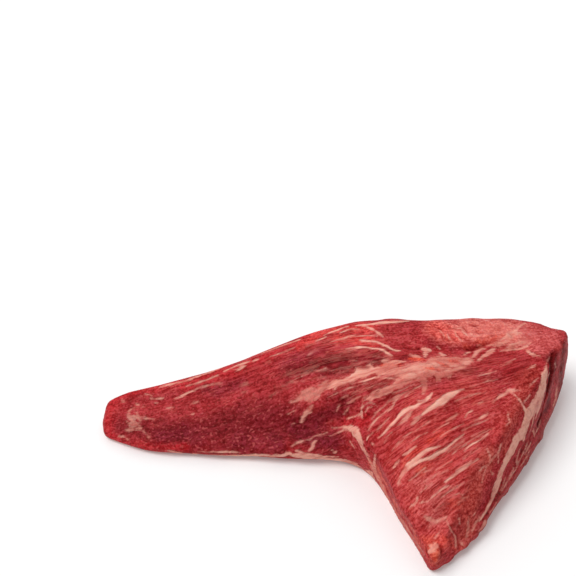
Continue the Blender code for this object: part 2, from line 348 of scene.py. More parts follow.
# Fat and silvery skin. Seams of fat part the muscle bundles, and thin films of fat and sinew are torn
# along the grain where the fat cap was pulled off. Rows of area, strength, paleness, raggedness, strokes.
FAT = [
    ("tail tip", 0.62, 0.34, 1.6, [
        [(131, 409, 0.8), (129, 413, 1.2), (128, 417, 1)],
        [(129, 417, 1), (132, 419, 2.2), (134, 423, 2.8), (132, 427, 2.4), (129, 430, 1.2)],
        [(134, 408, 0.6), (136, 412, 1.2), (138, 416, 1.6), (143, 417, 1.2), (148, 418.5, 1),
         (154, 420, 0.6)],
        [(134, 415, 0.8), (138, 419, 1.4), (141, 421, 0.8)],
        [(138, 424, 1), (140, 427, 1.2), (137, 429, 1)],
        [(127, 422, 0.6), (130, 424, 1)],
        [(126, 430, 0.6), (129, 430, 0.8)],
        [(135, 402, 0.8), (138, 405, 1.8), (142, 407, 2), (145, 407, 0.8)],
        [(122, 401, 1.2), (125, 402, 0.8)],
        [(120, 436, 0.6), (125, 438, 1.3), (129, 440, 0.5)],
        [(144, 432, 0.5), (149, 437, 0.8)],
    ]),
    ("tail", 0.75, 0.5, 0.4, [
        [(151, 399, 0.6), (157, 399, 1.2), (163, 398, 0.6)],
        [(175, 399, 0.5), (183, 396, 1.1), (190, 392, 1), (196, 391, 0.4)],
        [(190, 405, 0.4), (193, 403, 1.2), (198, 401, 0.6)],
        [(164, 407, 0.5), (170, 408, 1), (174, 407, 0.5)],
        [(145, 394, 0.6), (149, 395, 1), (152, 396, 0.5)],
        [(155, 403, 0.7), (158, 403, 0.9)],
        [(191, 414, 0.6), (193, 414, 0.9)],
        [(251, 362, 0.5), (255, 360, 1), (258, 359, 0.5)],
        [(233, 370, 0.5), (239, 369, 1), (242, 367, 1.4), (245, 366, 0.8)],
        [(287, 383, 0.4), (293, 380, 0.7), (300, 377, 0.8), (306, 375, 0.7), (312, 372, 0.5),
         (320, 370, 0.9), (326, 368, 0.6)],
        [(288, 414, 0.5), (293, 412, 1), (297, 410, 0.6)],
        [(291, 424, 0.8), (294, 423, 0.8)],
        [(290, 447, 0.6), (296, 444, 0.8), (303, 441, 0.8), (310, 439, 0.7), (316, 436, 1.2), (320, 435, 1),
         (327, 433, 0.5)],
        [(309, 451, 1), (312, 448, 2.2), (314, 443, 1.5), (316, 441, 0.8)],
    ]),
    ("tail rim", 0.75, 0.6, 0.3, [
        [(160, 387, 0.4), (168, 385, 0.9), (176, 383, 0.7), (184, 381, 0.5), (192, 379, 0.3)],
        [(178, 383, 0.4), (190, 379, 0.6), (203, 374.5, 0.8), (212, 371.5, 0.9), (222, 368, 0.6)],
        [(232, 364, 0.4), (243, 359, 0.7), (251, 356, 0.7), (262, 351, 0.4)],
        [(186, 386, 0.5), (196, 383, 0.8), (208, 379, 0.8), (218, 375, 0.5)],
        [(196, 389, 0.4), (206, 386, 0.6), (214, 384, 0.4)],
        [(224, 371, 0.5), (236, 366, 0.8), (250, 361, 0.6)],
        [(262, 353, 0.5), (275, 348, 0.7), (288, 343, 0.6), (300, 339, 0.5)],
        [(270, 357, 0.4), (284, 352, 0.6), (296, 347, 0.4)],
    ]),
    ("faint on tail", 0.35, 0.2, 1.0, [
        [(216, 384, 1), (222, 384, 1.4)],
        [(241, 385, 1.5), (247, 384, 1.6)],
        [(242, 392, 1.2), (245, 391, 1.2)],
        [(265, 363, 0.5), (270, 362, 0.9)],
        [(283, 375, 0.5), (288, 373, 1), (293, 371, 0.6)],
        [(270, 396, 0.5), (274, 394, 0.7), (280, 391, 0.6), (288, 388, 0.5)],
        [(275, 388, 0.4), (282, 386, 0.6), (289, 385, 0.4)],
    ]),
    ("lower edge", 0.95, 0.7, 0.5, [
        [(168, 451, 0.6), (185, 453.5, 0.9), (200, 454, 1), (215, 455, 1.2), (228, 455.2, 1.8),
         (240, 455.5, 1.6), (252, 455.6, 1.4), (264, 455.6, 1.4), (276, 456, 1.2), (285, 455.5, 1.6),
         (288, 453.5, 2.2), (292, 455, 2), (300, 456, 2.4), (310, 457.2, 2.6), (320, 458, 2.8),
         (330, 459, 3), (342, 460.5, 3.4), (350, 462.5, 3.4), (356, 465.5, 3.2), (362, 469.5, 3),
         (368, 474, 2.6), (374, 479, 2.4)],
        [(198, 451.5, 0.4), (212, 452, 0.7), (226, 451.8, 0.8), (240, 452.4, 0.5)],
        [(296, 451, 0.5), (306, 453.5, 0.8), (318, 455.5, 1), (330, 456.5, 0.8), (338, 456.5, 0.5)],
    ]),
    ("long seam", 0.95, 0.38, 0.5, [
        [(325, 387, 4), (335, 384, 4), (344, 381, 3.6), (354, 377.5, 4), (362, 373.5, 5),
         (370, 372, 5), (379, 371, 4.2), (388, 372, 3.6), (396, 371.5, 3)],
        [(350, 386, 0.6), (358, 383, 0.8), (368, 380, 1), (380, 378, 1), (392, 378, 1.2), (402, 378.5, 2)],
        [(348, 403, 1.4), (352, 401, 2), (356, 398.5, 1.4), (360, 396.5, 0.8)],
        [(363, 402, 0.8), (368, 399.5, 1.8), (374, 396.5, 3), (381, 393, 3.8), (388, 390, 4),
         (395, 387, 3.6), (402, 383.5, 3.8), (410, 380, 3.6)],
        [(424, 350, 1.5), (427, 350, 3), (426, 354, 2.5), (425, 357, 1)],
        [(403, 368, 2), (412, 366, 3.5), (420, 366, 4), (428, 365, 3)],
    ]),
    ("long seam, left", 0.48, 0.33, 0.6, [
        [(291, 402, 1), (296, 401, 1.8), (300, 398, 3.2), (305, 396.5, 5), (311, 395.5, 6), (318, 391, 5),
         (325, 387, 4)],
    ]),
    ("long seam, film", 0.86, 0.27, 0.5, [
        [(386, 366, 3), (394, 370, 3.5), (402, 373, 5.5), (412, 372, 7.5), (424, 369.5, 9), (434, 368, 9),
         (444, 366, 7), (452, 364.5, 5), (460, 362, 4), (468, 360, 3)],
        [(430, 362, 3), (440, 360, 3.5), (450, 359, 2.5), (458, 358, 1.5)],
        [(447, 372, 2), (456, 369, 2.5), (464, 366, 2), (470, 363, 1)],
    ]),
    ("bright on the long seam", 0.8, 0.42, 0.8, [
        [(404, 370, 1), (412, 369, 2.6), (420, 367.5, 3.2), (428, 366, 2)],
        [(398, 380, 1), (406, 378, 2.2), (413, 375, 2)],
        [(430, 372, 1), (437, 370, 2), (443, 368, 1)],
        [(464, 361, 0.8), (468, 359.5, 1.6), (472, 359, 0.8)],
        [(440, 359, 0.8), (448, 358.5, 1), (456, 358, 0.6)],
        [(376, 394.5, 0.6), (384, 390.5, 1), (392, 387, 1)],
    ]),
    ("by the long seam", 0.8, 0.3, 0.8, [
        [(424, 380, 2), (424, 385, 3), (424, 390, 2), (423, 393, 1)],
        [(313, 406, 1), (310, 410, 2.5), (306, 413, 2), (303, 417, 1.5), (301, 422, 1.8)],
        [(384, 361, 2.6), (388, 364, 3.2), (396, 367, 1.5)],
    ]),
    ("shoulder", 0.95, 0.9, 0.3, [
        [(360, 326, 0.6), (368, 328, 1), (374, 331, 1.2), (380, 335, 1.2), (383, 337, 0.5)],
        [(360, 341, 0.6), (366, 341.5, 1), (378, 343, 1), (384, 346, 1), (390, 349, 0.9), (396, 351, 0.7),
         (400, 351, 0.5)],
        [(346, 350, 0.5), (352, 349, 0.9), (360, 348, 1.2), (366, 348, 0.9), (374, 350, 0.7),
         (382, 351, 0.9), (388, 354, 1), (392, 356, 0.5)],
        [(330, 342, 0.4), (338, 340, 0.7), (344, 338.5, 1), (350, 336.5, 0.9), (356, 335, 0.5)],
        [(350, 338, 0.4), (360, 336.5, 0.7), (370, 336, 0.6), (377, 336.5, 0.5)],
        [(316, 341, 0.5), (321, 339, 0.8), (326, 336.5, 0.6)],
        [(324, 335, 0.4), (331, 332, 0.7), (339, 329.5, 0.7), (348, 327, 0.4)],
        [(340, 333, 0.4), (350, 330, 0.7), (360, 329.5, 0.5)],
        [(356, 326.5, 0.5), (366, 325, 0.9), (376, 323.5, 1.2), (386, 322.4, 1.1), (396, 321.8, 0.9),
         (409, 321, 0.6)],
    ]),
    ("thin on shoulder", 0.32, 0.3, 0.2, [
        [(308, 355, 0.6), (312, 352, 0.8), (318, 350, 0.5)],
        [(352, 363, 0.6), (358, 364, 1), (362, 363, 0.5)],
        [(340, 368, 0.4), (348, 367, 0.8), (354, 365, 0.5), (362, 367, 0.7), (368, 368, 0.5)],
        [(336, 373, 0.4), (342, 372, 0.7), (350, 370, 0.5)],
        [(340, 353, 0.3), (348, 352, 0.6), (354, 350, 0.5)],
        [(330, 361, 0.4), (338, 360, 0.7), (345, 358, 0.4)],
        [(366, 356, 0.4), (372, 355, 0.6), (380, 356, 0.4)],
        [(310, 363, 0.3), (316, 361, 0.5), (320, 359, 0.3)],
        [(304, 372, 0.3), (312, 368, 0.5), (318, 366, 0.4)],
        [(290, 377, 0.4), (302, 374, 0.7), (312, 372, 0.8), (324, 371, 0.6), (334, 370, 0.8),
         (350, 368, 0.5)],
        [(290, 383, 0.4), (300, 381, 0.7), (308, 380, 0.8), (318, 378, 0.7), (326, 377, 0.4)],
        [(318, 361, 0.4), (330, 359, 0.7), (342, 357, 0.8), (352, 355, 0.6), (360, 355, 0.4)],
        [(363, 354, 0.4), (370, 355, 0.8), (378, 357, 0.8), (386, 358, 0.7), (394, 358, 0.5)],
        [(350, 360, 0.4), (358, 361, 0.7), (366, 361, 0.8), (374, 362, 0.6), (380, 363, 0.4)],
        [(304, 348, 0.3), (312, 345, 0.6), (322, 342, 0.7), (330, 340, 0.5)],
    ]),
    ("strands under the seam", 0.75, 0.45, 0.3, [
        [(363, 398, 0.4), (372, 393, 0.7), (382, 389, 0.8), (392, 386, 0.7), (400, 383, 0.5)],
        [(352, 394, 0.4), (360, 390, 0.6), (370, 387, 0.7), (380, 384, 0.6), (390, 383, 0.5)],
        [(340, 393, 0.4), (348, 389, 0.6), (358, 385.5, 0.6), (368, 384, 0.4)],
        [(383, 361, 1), (390, 362, 2), (397, 362, 1.8), (405, 362, 1)],
        [(393, 394, 0.5), (400, 390, 0.8), (408, 386, 0.9), (414, 384, 0.5)],
        [(406, 396, 0.5), (412, 391, 0.9), (418, 387, 1), (424, 384, 0.6)],
        [(375, 413, 0.5), (382, 407, 0.9), (392, 399, 0.9), (402, 394, 0.8), (410, 391, 0.5)],
        [(372, 419, 0.4), (379, 411, 0.6), (387, 404, 0.6), (395, 398, 0.4)],
        [(364, 405, 0.6), (368, 402.5, 0.7), (374, 403, 0.7), (378, 407, 0.5)],
        [(366, 413, 0.4), (368, 408, 0.6), (373, 406, 0.4)],
        [(368, 430, 0.4), (376, 420, 0.7), (384, 413, 0.6), (391, 407, 0.4)],
        [(376, 432, 0.4), (383, 424, 0.6), (389, 418, 0.4)],
    ]),
    ("hollow", 0.9, 0.5, 0.3, [
        [(342, 398, 0.8), (345, 397, 1.2), (348, 395, 0.8)],
        [(328, 398, 0.4), (333, 395, 0.7), (338, 393, 0.5)],
        [(363, 405, 0.7), (361.5, 410, 1), (362, 415, 0.9), (362.5, 418, 0.5)],
        [(347, 418.5, 0.5), (354, 416.5, 0.9), (360, 414.5, 1.3)],
        [(337, 411, 0.6), (338, 408, 0.8), (340, 405, 0.5)],
        [(343, 414, 0.4), (347, 410, 0.6), (350, 406, 0.4)],
        [(367, 440, 0.5), (368, 436, 0.8), (371, 434, 0.7), (373, 433, 0.4)],
        [(372, 443, 0.8), (374, 445, 0.6)],
        [(375, 455, 0.6), (375, 462, 1), (376, 468, 1)],
        [(350, 441, 0.5), (353, 446, 0.8), (355, 450, 0.5)],
        [(330, 436, 0.5), (336, 434, 0.8), (342, 431, 0.6), (347, 430, 0.5)],
        [(332, 450, 1), (335, 452, 1.5)],
    ]),
    ("hollow lip", 0.85, 0.62, 0.5, [
        [(332, 428, 0.4), (338, 427.5, 0.8), (345, 427.5, 1.4), (350, 428.5, 2.4), (354, 430.5, 3.6),
         (357.5, 434, 3.6), (360.5, 438.5, 2.8), (363, 443.5, 1.8), (365.5, 449, 1.2), (368, 455, 1.1),
         (371.5, 461, 1.2), (374, 466, 1.3), (376, 472, 1.8), (378, 478, 2.2)],
        [(362, 445, 0.8), (366, 450, 1.4), (369, 454, 1)],
    ]),
    ("flank edge", 0.5, 0.4, 0.6, [
        [(374, 469, 1.6), (378, 476, 2), (382, 485, 2.2), (386, 494, 2), (391, 503, 1.8), (396, 511, 1.8),
         (401, 519, 1.6), (406, 526, 1.5), (411, 534, 1.4), (416, 542, 1.2), (420, 548, 1), (424, 555, 0.8)],
    ]),
    ("broad face", 1.0, 0.95, 0.2, [
        [(378, 438, 0.5), (384, 433, 0.9), (390, 426, 1.2), (396, 420, 1.6), (400, 415, 2.2),
         (405, 411, 2.4), (411, 408, 2), (416, 406, 1.8), (422, 402, 1.5), (427, 399, 1.8),
         (430, 396, 1.5), (432, 393, 0.8)],
        [(464, 389, 0.6), (458, 391, 1.5), (452, 394, 3), (447, 397, 3.8), (442, 401, 3.8),
         (436, 405, 2.8), (431, 408, 2.2), (427, 411, 1.7), (423, 414, 1.4), (420, 417, 1.2),
         (417, 420, 0.9), (413, 423, 0.5)],
        [(440, 446, 0.6), (434, 448, 1.2), (428, 450, 1.8), (422, 454, 2.2), (416, 459, 2.5), (411, 464, 3),
         (407, 468, 2.8), (404, 472, 2.2), (401, 477, 1.6), (400, 483, 0.8)],
        [(464, 434, 0.6), (460, 437, 1.2), (456, 440, 1.4), (452, 444, 1.6), (448, 448, 1.8),
         (443, 451, 2.2), (438, 453, 2.2), (432, 457, 2.2), (426, 459, 1.8), (420, 461, 1.5),
         (415, 464, 1.5), (411, 467, 1.5)],
        [(488, 433, 1), (484, 437, 0.8), (478, 441, 0.9), (472, 444, 1), (468, 447, 0.8), (464, 451, 0.5)],
        [(478, 459, 0.6), (474, 462, 0.8), (470, 464, 0.9), (466, 467, 1.3), (461, 470, 1.5),
         (457, 473, 1.3), (453, 476, 1.2), (449, 479, 1.1), (445, 482, 0.8)],
    ]),
    ("patch on the knob", 0.6, 0.7, 0.8, [
        [(429, 545, 1), (432, 546, 2.4), (434, 548.5, 2.4), (431, 551, 1.8), (429, 553, 1)],
        [(434, 543, 1), (437, 545, 1), (439, 548, 0.8)],
        [(447, 521, 0.6), (449, 526, 0.9), (452, 531, 1), (455, 536, 1), (456, 542, 0.9), (456, 548, 0.6)],
    ]),
    ("smudges on the face", 0.65, 0.3, 0.6, [
        [(398, 425, 1), (403, 421, 2.4), (408, 416, 2.4), (411, 411, 1)],
        [(411, 425, 1), (415, 421, 2), (419, 417, 1.6)],
        [(447, 421, 1), (452, 418, 2), (457, 414, 1.4)],
        [(475, 422, 0.8), (481, 419, 1.4), (488, 414, 1.2)],
        [(493, 402, 1), (500, 397, 1.6), (507, 392, 1.2)],
        [(398, 484, 1), (401, 477, 1.8), (405, 470, 1.6)],
        [(448, 452, 1), (456, 446, 1.6), (464, 440, 1.2)],
        [(424, 516, 1), (429, 519, 1.8), (436, 521, 2), (442, 519, 1.4), (446, 517, 0.8)],
        [(433, 522, 1), (430, 526, 1.2), (428, 529, 0.8)],
        [(458, 503, 1), (463, 499, 1.6), (469, 497, 1)],
    ]),
    ("chalk on the lower corner", 0.55, 0.5, 0.8, [
        [(468, 519, 0.8), (468, 527, 1.5), (467, 534, 1.2), (466, 539, 0.6)],
        [(479, 517, 0.8), (475, 524, 1.4), (472, 532, 1)],
        [(485, 521, 0.8), (481, 528, 1), (477, 534, 0.6)],
        [(459, 541, 0.8), (463, 545, 1)],
    ]),
    ("thin on broad face", 0.75, 0.55, 0.25, [
        [(384, 442, 0.5), (388, 437, 0.8), (392, 433, 0.5)],
        [(393, 404, 0.8), (396, 400, 1.5), (400, 397, 0.8), (403, 395, 0.8), (409, 390, 0.5)],
        [(388, 412, 0.5), (392, 408, 0.7), (395, 403, 0.6)],
        [(417, 400, 1), (420, 401, 1), (424, 400, 0.6)],
        [(403, 455, 1), (408, 453, 1.2), (412, 449, 1.2), (416, 446, 0.8)],
        [(399, 460, 0.6), (396, 464, 1), (394, 468, 1)],
        [(472, 436, 0.5), (476, 434, 0.8), (480, 432, 0.8), (485, 431, 0.5)],
        [(452, 455, 0.4), (455, 452, 0.6), (458, 449, 0.6), (462, 447, 0.6), (466, 444, 0.5)],
        [(463, 459, 0.4), (466, 456, 0.6), (470, 453, 0.6), (475, 450, 0.5), (480, 448, 0.4)],
        [(409, 481, 0.5), (413, 478, 1), (417, 475, 1), (421, 471, 0.9), (425, 468, 0.6)],
        [(420, 492, 0.5), (424, 489, 0.9), (428, 486, 1), (432, 483, 0.7)],
        [(430, 500, 0.5), (434, 496, 0.9), (438, 493, 0.8), (442, 489, 0.9), (446, 487, 0.7),
         (450, 486, 0.4)],
        [(422, 473, 0.5), (427, 471, 0.7), (431, 470, 0.5)],
        [(440, 474, 0.3), (444, 471, 0.5), (448, 470, 0.4)],
        [(465, 417, 0.8), (468, 413, 1), (472, 410, 0.6)],
        [(476, 420, 0.5), (480, 418, 0.8), (484, 415, 1), (488, 415, 0.6)],
        [(402, 437, 0.3), (405, 436, 0.5), (408, 434, 0.4)],
        [(478, 404, 0.5), (483, 402, 0.8)],
        [(409, 508, 0.5), (411, 506, 1), (415, 503, 1.2), (417, 500, 1), (417, 498, 0.8)],
        [(419, 503, 0.5), (424, 502, 0.9), (429, 501, 0.5)],
        [(450, 499, 0.4), (454, 495, 0.9), (459, 494, 0.8), (463, 495, 0.5)],
        [(435, 538, 0.4), (438, 534, 0.6), (442, 531, 0.5)],
        [(459, 448, 0.4), (466, 443, 0.7), (475, 438, 0.7), (485, 432, 0.7), (494, 428, 0.4)],
        [(462, 431, 0.3), (470, 427, 0.5), (479, 423, 0.6), (488, 420, 0.4)],
        [(440, 437, 0.3), (447, 432, 0.6), (455, 428, 0.6), (464, 423, 0.4)],
        [(433, 432, 0.3), (440, 427, 0.5), (448, 423, 0.4)],
        [(455, 402, 0.4), (463, 398, 0.7), (472, 395, 0.6), (480, 393, 0.4)],
        [(470, 387, 0.4), (479, 384, 0.6), (489, 381, 0.7), (498, 379, 0.4)],
        [(476, 377, 0.3), (486, 374, 0.6), (496, 371, 0.4)],
        [(436, 470, 0.4), (444, 465, 0.6), (452, 461, 0.4)],
        [(441, 497, 0.3), (449, 492, 0.6), (457, 487, 0.6), (464, 483, 0.4)],
        [(432, 512, 0.3), (439, 507, 0.6), (447, 502, 0.4)],
        [(424, 482, 0.3), (432, 477, 0.6), (440, 472, 0.4)],
        [(396, 446, 0.3), (402, 440, 0.6), (409, 434, 0.6), (416, 430, 0.4)],
        [(410, 443, 0.3), (418, 437, 0.6), (427, 432, 0.4)],
        [(414, 432, 0.3), (422, 426, 0.5), (430, 421, 0.4)],
        [(392, 450, 0.3), (397, 444, 0.5), (401, 439, 0.3)],
        [(456, 470, 0.3), (463, 466, 0.5), (471, 461, 0.4)],
    ]),
    ("top", 0.75, 0.5, 0.5, [
        [(464, 355, 0.5), (467, 353.5, 1), (470, 352, 0.5)],
        [(440, 353, 1), (443, 355, 1.5), (446, 355, 0.8)],
        [(437, 347, 0.6), (440, 349, 0.8)],
        [(478, 360, 0.8), (483, 357, 1), (487, 354, 1.8), (491, 351, 2.5), (494, 350, 1.5)],
        [(487, 345, 1), (495, 345, 1.5), (500, 342, 2)],
        [(500, 351, 0.6), (505, 350, 1), (512, 349, 1), (520, 349, 1), (526, 347, 1.8), (528, 344, 1),
         (530, 343, 0.6)],
        [(526, 349, 1), (530, 353, 1.2), (535, 355, 1.5), (540, 356, 0.8)],
        [(527, 369, 0.5), (531, 367, 1), (535, 365, 0.8)],
    ]),
    ("vein on top", 0.7, 0.6, 0.4, [
        [(498, 343, 0.8), (504, 339, 1.4), (510, 334.5, 2), (515, 331, 1.6), (518, 328, 1), (525, 323, 0.7)],
        [(508, 336, 0.8), (515, 334, 1.6), (521, 333, 1)],
        [(513, 347, 0.6), (520, 345, 0.8), (527, 346, 0.6)],
    ]),
    ("curls on top", 0.75, 0.6, 0.5, [
        [(447, 335, 0.5), (449, 339, 0.8), (453, 342, 0.6)],
        [(455, 331, 0.4), (457, 337, 0.9), (462, 342, 0.7)],
        [(462, 331, 0.4), (468, 336, 0.7)],
        [(440, 330, 0.4), (443, 335, 0.7), (444, 339, 0.4)],
        [(450, 328, 0.4), (457, 328, 0.7), (464, 330, 0.4)],
        [(470, 333, 0.4), (476, 337, 0.7), (481, 335, 0.4)],
    ]),
    ("thin on top", 0.5, 0.4, 0.5, [
        [(482, 347, 1), (478, 346, 1.2), (476, 350, 1.2), (474, 354, 1), (472, 358, 0.8)],
        [(500, 367, 0.5), (505, 364, 0.8), (511, 361, 0.9), (515, 358, 0.6)],
    ]),
    ("lobes before the plateau", 0.75, 0.35, 0.8, [
        [(474, 357, 1), (477, 352, 2), (481, 348.5, 2.2), (485, 349, 1.2)],
        [(497, 346, 1), (503, 343, 2.2), (509, 339.5, 2), (513, 336.5, 1)],
        [(504, 350, 1), (512, 346, 2), (520, 343, 2), (526, 341, 1)],
        [(411, 354.5, 1), (415, 356, 1.6), (419, 357, 1)],
    ]),
    ("seam down the cut end", 0.9, 0.8, 0.3, [
        [(547, 367, 0.8), (546, 372, 2.2), (544.5, 378, 3.6), (543, 385, 4.4), (541, 392, 4.8),
         (539, 399, 5), (536, 405, 4.4), (532, 410, 4), (528.5, 415, 3.8), (527, 421, 3.2),
         (524.5, 428, 3.8), (521, 434, 3.8), (517, 439, 3.4), (515, 444, 3.6), (512, 450, 3.4),
         (509, 456, 3), (506, 462, 2.8), (503, 468, 2.8), (500, 474, 3.2), (498, 480, 3.6),
         (496, 487, 3.2), (494, 494, 2.5), (492, 500, 2.2), (489, 506, 1.8), (486, 511, 1.5),
         (482, 517, 1), (479, 521, 0.6)],
        [(522, 433, 3), (523, 437, 2), (524, 440, 1)],
        [(511, 393, 0.7), (516, 397, 0.9), (520, 401, 1), (523, 406, 1), (526, 411, 1.4), (529, 414, 1.8)],
        [(530, 395, 0.4), (527, 399, 0.6), (524, 402, 0.5)],
        [(541, 399, 0.6), (540, 406, 1), (537, 413, 0.9), (535, 419, 0.5)],
    ]),
    ("threads on the cut end", 0.7, 0.6, 0.3, [
        [(496, 399, 0.6), (500, 396, 1.3), (504, 394, 1), (508, 391, 1.6), (512, 391, 2), (516, 391, 0.8),
         (521, 391, 0.4)],
        [(546, 366, 0.6), (548, 360, 0.6), (551, 357, 0.4)],
        [(551, 370, 0.6), (549, 374, 0.8), (548, 377, 0.5)],
        [(555, 363, 0.5), (556, 367, 0.6)],
        [(532, 384, 0.5), (535, 381, 0.8), (538, 378, 0.5)],
        [(529, 388, 0.4), (531, 384, 0.6)],
        [(508, 412, 0.5), (508, 417, 0.9), (509, 422, 0.8), (506, 425, 0.5)],
        [(533, 430, 1), (534, 434, 0.8)],
        [(557, 388, 0.8), (556, 394, 1.2), (555, 400, 1.2), (553, 406, 0.8)],
        [(520, 449, 0.6), (518, 455, 1), (517, 461, 0.9), (517, 466, 0.5)],
        [(531, 443, 0.5), (528, 449, 0.9), (525, 454, 0.7)],
        [(514, 472, 0.5), (512, 476, 0.8), (510, 480, 0.6)],
        [(487, 449, 0.5), (489, 455, 0.8), (489, 461, 0.6)],
        [(479, 471, 0.6), (483, 467, 0.9), (488, 464, 0.8), (491, 459, 0.9), (496, 454, 1.2),
         (499, 448, 0.8), (500, 444, 0.4)],
        [(497, 453, 0.6), (498, 458, 0.7), (498, 463, 0.5)],
        [(486, 467, 0.5), (484, 473, 0.7), (483, 478, 0.5), (482, 482, 0.4)],
        [(491, 472, 1), (493, 474, 1.2)],
        [(459, 518, 0.6), (460, 524, 0.5)],
        [(473, 515, 0.5), (475, 513, 0.6)],
        [(537, 404, 0.4), (534.5, 414, 0.7), (532, 424, 0.6), (529, 432, 0.3)],
        [(528, 441, 0.4), (525, 449, 0.7), (521, 458, 0.6), (517, 466, 0.3)],
        [(541, 420, 0.4), (538, 428, 0.6), (534, 436, 0.4)],
        [(530, 450, 0.3), (526, 458, 0.6), (521, 466, 0.4)],
        [(520, 462, 0.3), (516, 470, 0.6), (511, 479, 0.4)],
        [(514, 468, 0.4), (510, 477, 0.6), (505, 486, 0.6), (501, 493, 0.3)],
        [(506, 478, 0.3), (503, 486, 0.5), (499, 494, 0.3)],
        [(498, 500, 0.4), (494, 507, 0.6), (489, 514, 0.4)],
    ]),
]

THINNEST = 0.5
FAT_FEATHER = (-2.0, 0.3)
FAT_GIVES_WAY = 0.5

fat_depth = np.full(len(skin), OUTSIDE)
fat_strength = np.zeros(len(skin))
fat_pale = np.zeros(len(skin))
for area, strength, paleness, ragged, strokes in FAT:
    for stroke in strokes:
        depth, cover = stroke_field(stroke, ragged, THINNEST)
        share = soft_step(*FAT_FEATHER, depth)
        fat_strength = np.maximum(fat_strength * (1 - FAT_GIVES_WAY * share), share * strength * cover)
        fat_pale += share * (paleness - fat_pale)
        fat_depth = np.maximum(fat_depth, depth)

# Where the fat of the long seam is worn thin, and the meat shows through.
WORN = [
    [(450, 361, 1), (455, 361.5, 1.8), (460, 364, 1)],
    [(438, 363, 0.8), (443, 364.5, 1.4), (448, 367, 0.8)],
    [(426, 368, 0.6), (434, 369.5, 1.2), (440, 371, 0.6)],
    [(378, 379, 0.6), (386, 376.5, 1), (394, 377, 1.2), (401, 379, 0.8)],
    [(408, 361, 0.8), (416, 359.5, 1.2), (424, 361, 0.8)],
    [(347, 383, 0.6), (356, 382.5, 0.9), (365, 379.5, 0.6)],
]
WORN_AWAY = 0.75
WORN_FEATHER = (-1.0, 0.6)

fat_strength *= 1 - WORN_AWAY * soft_step(*WORN_FEATHER, deepest(WORN))

# Folds. Where two bundles meet, or where the cut turned, the meat is drawn in, and its colour is
# darkened there as painted shade.
# Rows of name, depth in mm, and the strokes.
FOLDS = [
    ("back of the cut end", 1.4, [
        [(553, 353, 1), (552, 362, 1.6), (551.5, 372, 2.2), (550, 382, 2.4), (548, 390, 1.8),
         (546, 398, 1.4), (543, 408, 1.5), (541, 416, 1.2), (538, 424, 1)],
    ]),
    ("low on the cut end", 0.5, [
        [(503, 480, 0.8), (501, 486, 1.2), (499, 492, 1.5), (496, 497, 1.2), (493, 503, 1), (489, 510, 1),
         (486, 515, 1.2), (483, 519, 0.8)],
    ]),
    ("furrows on the cut end", 0.4, [
        [(534, 424, 0.4), (531, 434, 0.7), (528, 442, 0.4)],
        [(526, 440, 0.4), (522, 450, 0.7), (517, 461, 0.4)],
        [(529, 446, 0.4), (524, 456, 0.7), (518, 467, 0.4)],
        [(513, 463, 0.4), (509, 474, 0.7), (504, 484, 0.4)],
        [(518, 468, 0.4), (513, 477, 0.7), (507, 487, 0.4)],
        [(502, 490, 0.4), (498, 498, 0.7), (492, 507, 0.4)],
    ]),
    ("under the long seam", 0.35, [
        [(336, 389, 1), (350, 385, 1), (360, 386, 1.4), (372, 386, 1.4), (384, 384, 1.2), (394, 381, 1)],
        [(392, 356, 0.6), (398, 356, 0.9), (404, 357, 0.6)],
    ]),
    ("between the curls", 0.7, [
        [(451, 334, 0.5), (452, 338, 0.9), (456, 342, 0.7)],
        [(457, 333, 0.4), (460, 336, 0.7), (461, 340, 0.5)],
        [(463, 338, 0.5), (467, 341, 0.9), (472, 341, 0.5)],
        [(447, 325, 0.5), (450, 328, 0.8), (455, 328, 0.5)],
        [(463, 327, 0.5), (466, 330, 0.7), (468, 333, 0.4)],
        [(441, 335, 0.5), (444, 339, 0.9), (449, 341, 0.6)],
        [(437, 325, 0.4), (439, 328, 0.7), (443, 330, 0.4)],
        [(476, 330, 0.4), (479, 333, 0.6), (484, 333, 0.4)],
        [(433, 335, 0.5), (437, 338, 0.8)],
        [(455, 323, 0.4), (459, 325, 0.6)],
        [(470, 325, 0.4), (474, 326, 0.6), (478, 325, 0.4)],
    ]),
    ("pocket edge", 0.5, [
        [(348, 440, 0.6), (351, 446, 1), (355, 453, 1), (357, 459, 0.6)],
    ]),
    ("knob", 0.6, [
        [(450, 525, 0.6), (453, 530, 1), (457, 535, 1), (459, 542, 0.8), (459, 549, 0.5)],
        [(426.5, 548, 0.6), (426.5, 552, 1.1), (428.5, 557, 0.7)],
        [(438, 544, 0.6), (441, 549, 1.2), (442, 555, 0.8)],
        [(446, 536, 0.5), (450, 541, 0.9), (452, 547, 0.6)],
    ]),
    ("front of the plateau", 0.8, [
        [(464, 349, 0.7), (470, 349.5, 1.4), (477, 348, 1.5), (484, 345.5, 1), (490, 343, 0.6)],
        [(404, 347, 0.8), (412, 349, 1), (420, 348.5, 0.6)],
    ]),
    ("swirl in the hollow", 0.5, [
        [(343, 399, 0.8), (342, 405, 1.2), (344, 411, 1.2), (349, 414, 0.8)],
        [(363, 420, 0.6), (367, 417, 0.9), (372, 415, 0.8), (377, 411, 0.6)],
        [(366, 428, 0.6), (371, 436, 0.9), (375, 444, 0.8)],
    ]),
    ("pocket", 0.35, [
        [(336, 446, 1.5), (342, 447, 2.5), (348, 450, 2.5), (353, 455, 1.5)],
    ]),
]

FOLD_FEATHER = (-1.2, 0.8)


def greatest(rows, feather):
    """The most that any stroke of the rows gives to each vertex, in mm."""
    most = np.zeros(len(skin))
    for area, given, strokes in rows:
        for stroke in strokes:
            most = np.maximum(most, given * soft_step(*feather, depth_in(stroke)))
    return most


fold_depth = greatest(FOLDS, FOLD_FEATHER)

